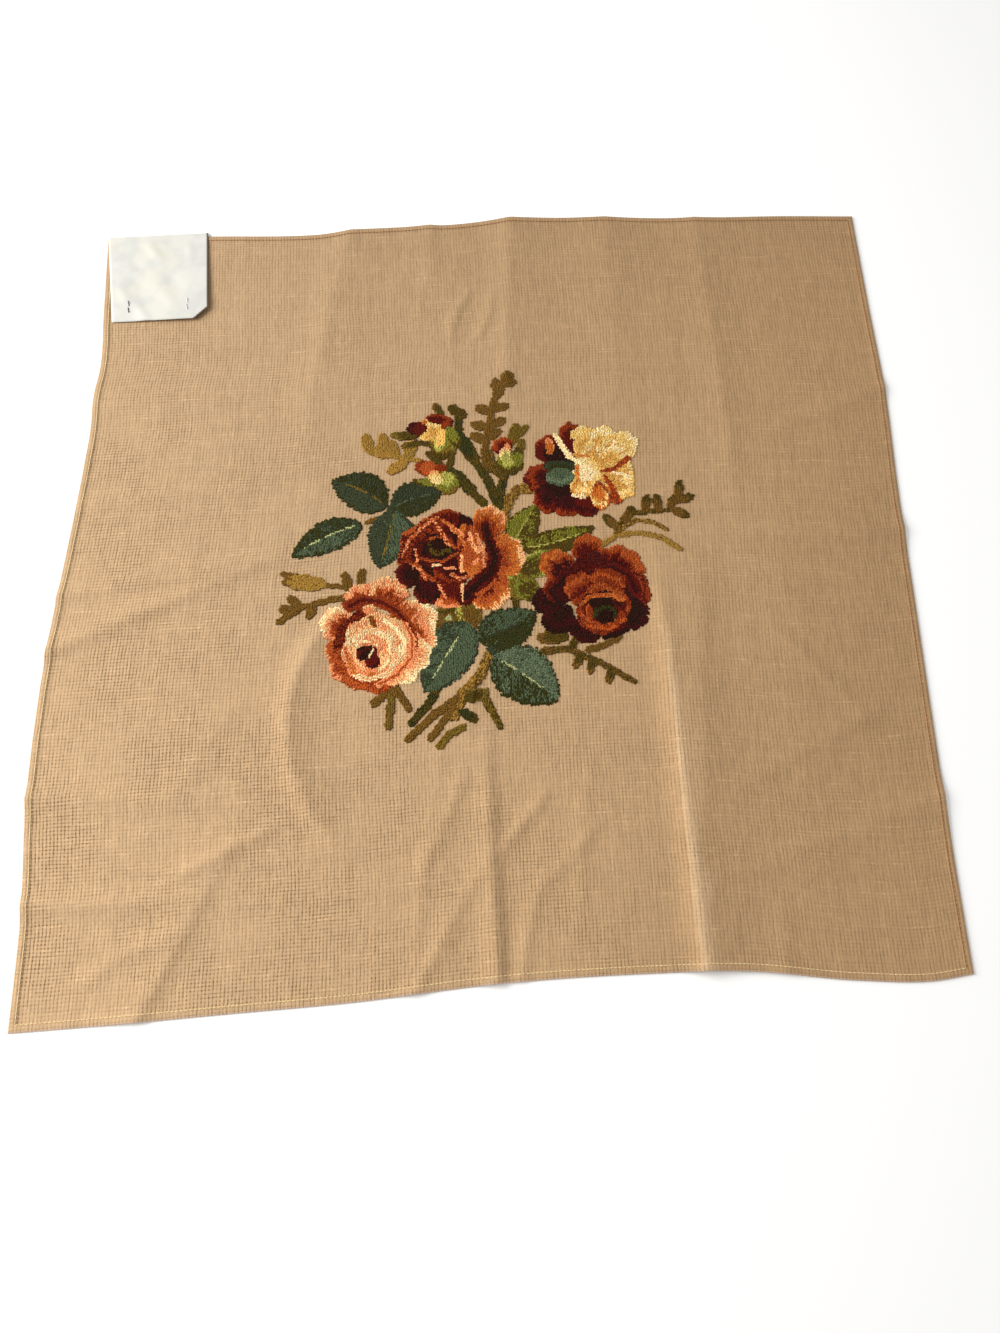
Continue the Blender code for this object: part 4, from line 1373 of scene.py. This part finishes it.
def label_point(across, deep, under):
    """A point of the card's underside; across and deep run from 0 to 1 from its near left corner."""
    near_x = LABEL_NEAR_LEFT.x + across * (LABEL_NEAR_RIGHT.x - LABEL_NEAR_LEFT.x)
    near_y = LABEL_NEAR_LEFT.y + across * (LABEL_NEAR_RIGHT.y - LABEL_NEAR_LEFT.y)
    far_x = LABEL_FAR_LEFT.x + across * (LABEL_FAR_RIGHT.x - LABEL_FAR_LEFT.x)
    far_y = LABEL_FAR_LEFT.y + across * (LABEL_FAR_RIGHT.y - LABEL_FAR_LEFT.y)
    x, y = near_x + deep * (far_x - near_x), near_y + deep * (far_y - near_y)
    lift = LABEL_LIFT * float(soft_step(across) * soft_step(1 - deep))
    creased = sum(card_crease(crease, across, deep) for crease in CARD_CREASES)
    z = float(ground(np.array(x), np.array(y))) + under + LABEL_GAP + lift + creased
    return x + ORIGIN_SHIFT[0], y + ORIGIN_SHIFT[1], z


class BuildLabel(bpy.types.Operator):
    """The blank card, folded over the far edge of the canvas"""

    bl_idname = "needlepoint.label"
    bl_label = "Card label"

    def execute(self, context):
        sheet, label = context.scene.needlepoint_sheet, context.scene.needlepoint_label
        under = UNDERSIDE + sheet.hem_thickness
        rows = LABEL_CELLS + LIP_STEPS + 1
        form = bmesh.new()
        bmesh.ops.create_grid(form, x_segments=LABEL_CELLS, y_segments=rows, size=1.0)
        for vertex in form.verts:
            across = (vertex.co.x + 1) / 2
            row = round((vertex.co.y + 1) / 2 * rows)
            x, y, z = label_point(across, min(row / LABEL_CELLS, 1.0), under)
            turn = min(max(row - LABEL_CELLS, 0) / LIP_STEPS, 1.0) * math.pi / 2
            y += LIP_RADIUS * math.sin(turn)
            z -= LIP_RADIUS * (1 - math.cos(turn))
            vertex.co = (x, y, z if row < rows else LIP_FOOT)
        x, y, _ = label_point(1.0, 0.0, under)
        bmesh.ops.bisect_plane(
            form,
            geom=form.verts[:] + form.edges[:] + form.faces[:],
            dist=1e-6,
            plane_co=(x - label.clip, y, 0),
            plane_no=(1, -1, 0),
            clear_outer=True,
        )
        card = add_form("card_label", form, card_finish(label))
        thicken(card, label.thickness)
        ride(card, ["corner_label"])
        return {"FINISHED"}


class BuildStaples(bpy.types.Operator):
    """The clinched legs of the two staples, as they show on the card"""

    bl_idname = "needlepoint.staples"
    bl_label = "Staples"

    def execute(self, context):
        sheet, label = context.scene.needlepoint_sheet, context.scene.needlepoint_label
        finishes = {
            "staple_left": steel_finish("dull_wire", (70, 66, 62), (30, 27, 25), 0.5),
            # the right staple's near-white colour is a painted reflection on the pale wire
            "staple_right": steel_finish("wire_with_painted_reflection", (244, 243, 238), (206, 203, 196), 0.4),
        }
        for name, place in STAPLES.items():
            across = (place.x - LABEL_NEAR_LEFT.x) / (LABEL_NEAR_RIGHT.x - LABEL_NEAR_LEFT.x)
            deep = (place.y - LABEL_NEAR_LEFT.y) / (LABEL_FAR_LEFT.y - LABEL_NEAR_LEFT.y)
            wire = bpy.data.curves.new(name, "CURVE")
            wire.dimensions = "3D"
            wire.bevel_depth = label.wire / 2
            wire.bevel_resolution = 3
            wire.use_fill_caps = True
            for way in (-1, 1):
                leg = wire.splines.new("POLY")
                leg.points.add(LEG_STEPS)
                for step, point in enumerate(leg.points):
                    out = 1 - 0.88 * soft_step(step / LEG_STEPS)
                    reach = way * STAPLE_CROWN / 2 * out
                    lift = label.thickness + label.wire * (0.5 + 0.7 * math.sin(math.pi * min(step / 5, 1)))
                    at = deep + reach / LABEL_DEEP
                    x, y, z = label_point(across, at, UNDERSIDE + sheet.hem_thickness)
                    side = LEG_CROSS * way * (1 - out)
                    drop = LEG_ROOT if step == 0 else 0.0
                    point.co = (x + side, y, z + lift - drop, 1.0)
            holder = bpy.data.objects.new(name, wire)
            context.scene.collection.objects.link(holder)
            shape = bpy.data.meshes.new_from_object(holder.evaluated_get(context.evaluated_depsgraph_get()))
            bpy.data.objects.remove(holder)
            form = bmesh.new()
            form.from_mesh(shape)
            bmesh.ops.remove_doubles(form, verts=form.verts, dist=1e-6)
            ride(add_form(f"{name}_legs", form, finishes[name]), [name])
        return {"FINISHED"}


STEPS = (BuildStage, BuildCanvas, BuildWool, BuildHemStitching, BuildLabel, BuildStaples)
SETTINGS = {
    "needlepoint_sheet": SheetSettings,
    "needlepoint_wool": WoolSettings,
    "needlepoint_hem": HemSettings,
    "needlepoint_label": LabelSettings,
    "needlepoint_stage": StageSettings,
}


class NeedlepointPanel(bpy.types.Panel):
    """Buttons for the pieces, in the order in which they are made"""

    bl_idname = "VIEW3D_PT_needlepoint"
    bl_label = "Needlepoint canvas panel"
    bl_space_type = "VIEW_3D"
    bl_region_type = "UI"
    bl_category = "Needlepoint"

    def draw(self, context):
        for step in STEPS:
            self.layout.operator(step.bl_idname)
        for name in SETTINGS:
            group = getattr(context.scene, name)
            box = self.layout.box()
            for setting in group.bl_rna.properties:
                if setting.identifier not in ("rna_type", "name"):
                    box.prop(group, setting.identifier)


CLASSES = (*SETTINGS.values(), *STEPS, NeedlepointPanel)


def register():
    for made in CLASSES:
        bpy.utils.register_class(made)
    for name, group in SETTINGS.items():
        setattr(bpy.types.Scene, name, PointerProperty(type=group))


def unregister():
    for name in SETTINGS:
        delattr(bpy.types.Scene, name)
    for made in reversed(CLASSES):
        bpy.utils.unregister_class(made)


def main():
    register()
    for step in STEPS:
        group, name = step.bl_idname.split(".")
        getattr(getattr(bpy.ops, group), name)()


if __name__ == "__main__":
    main()
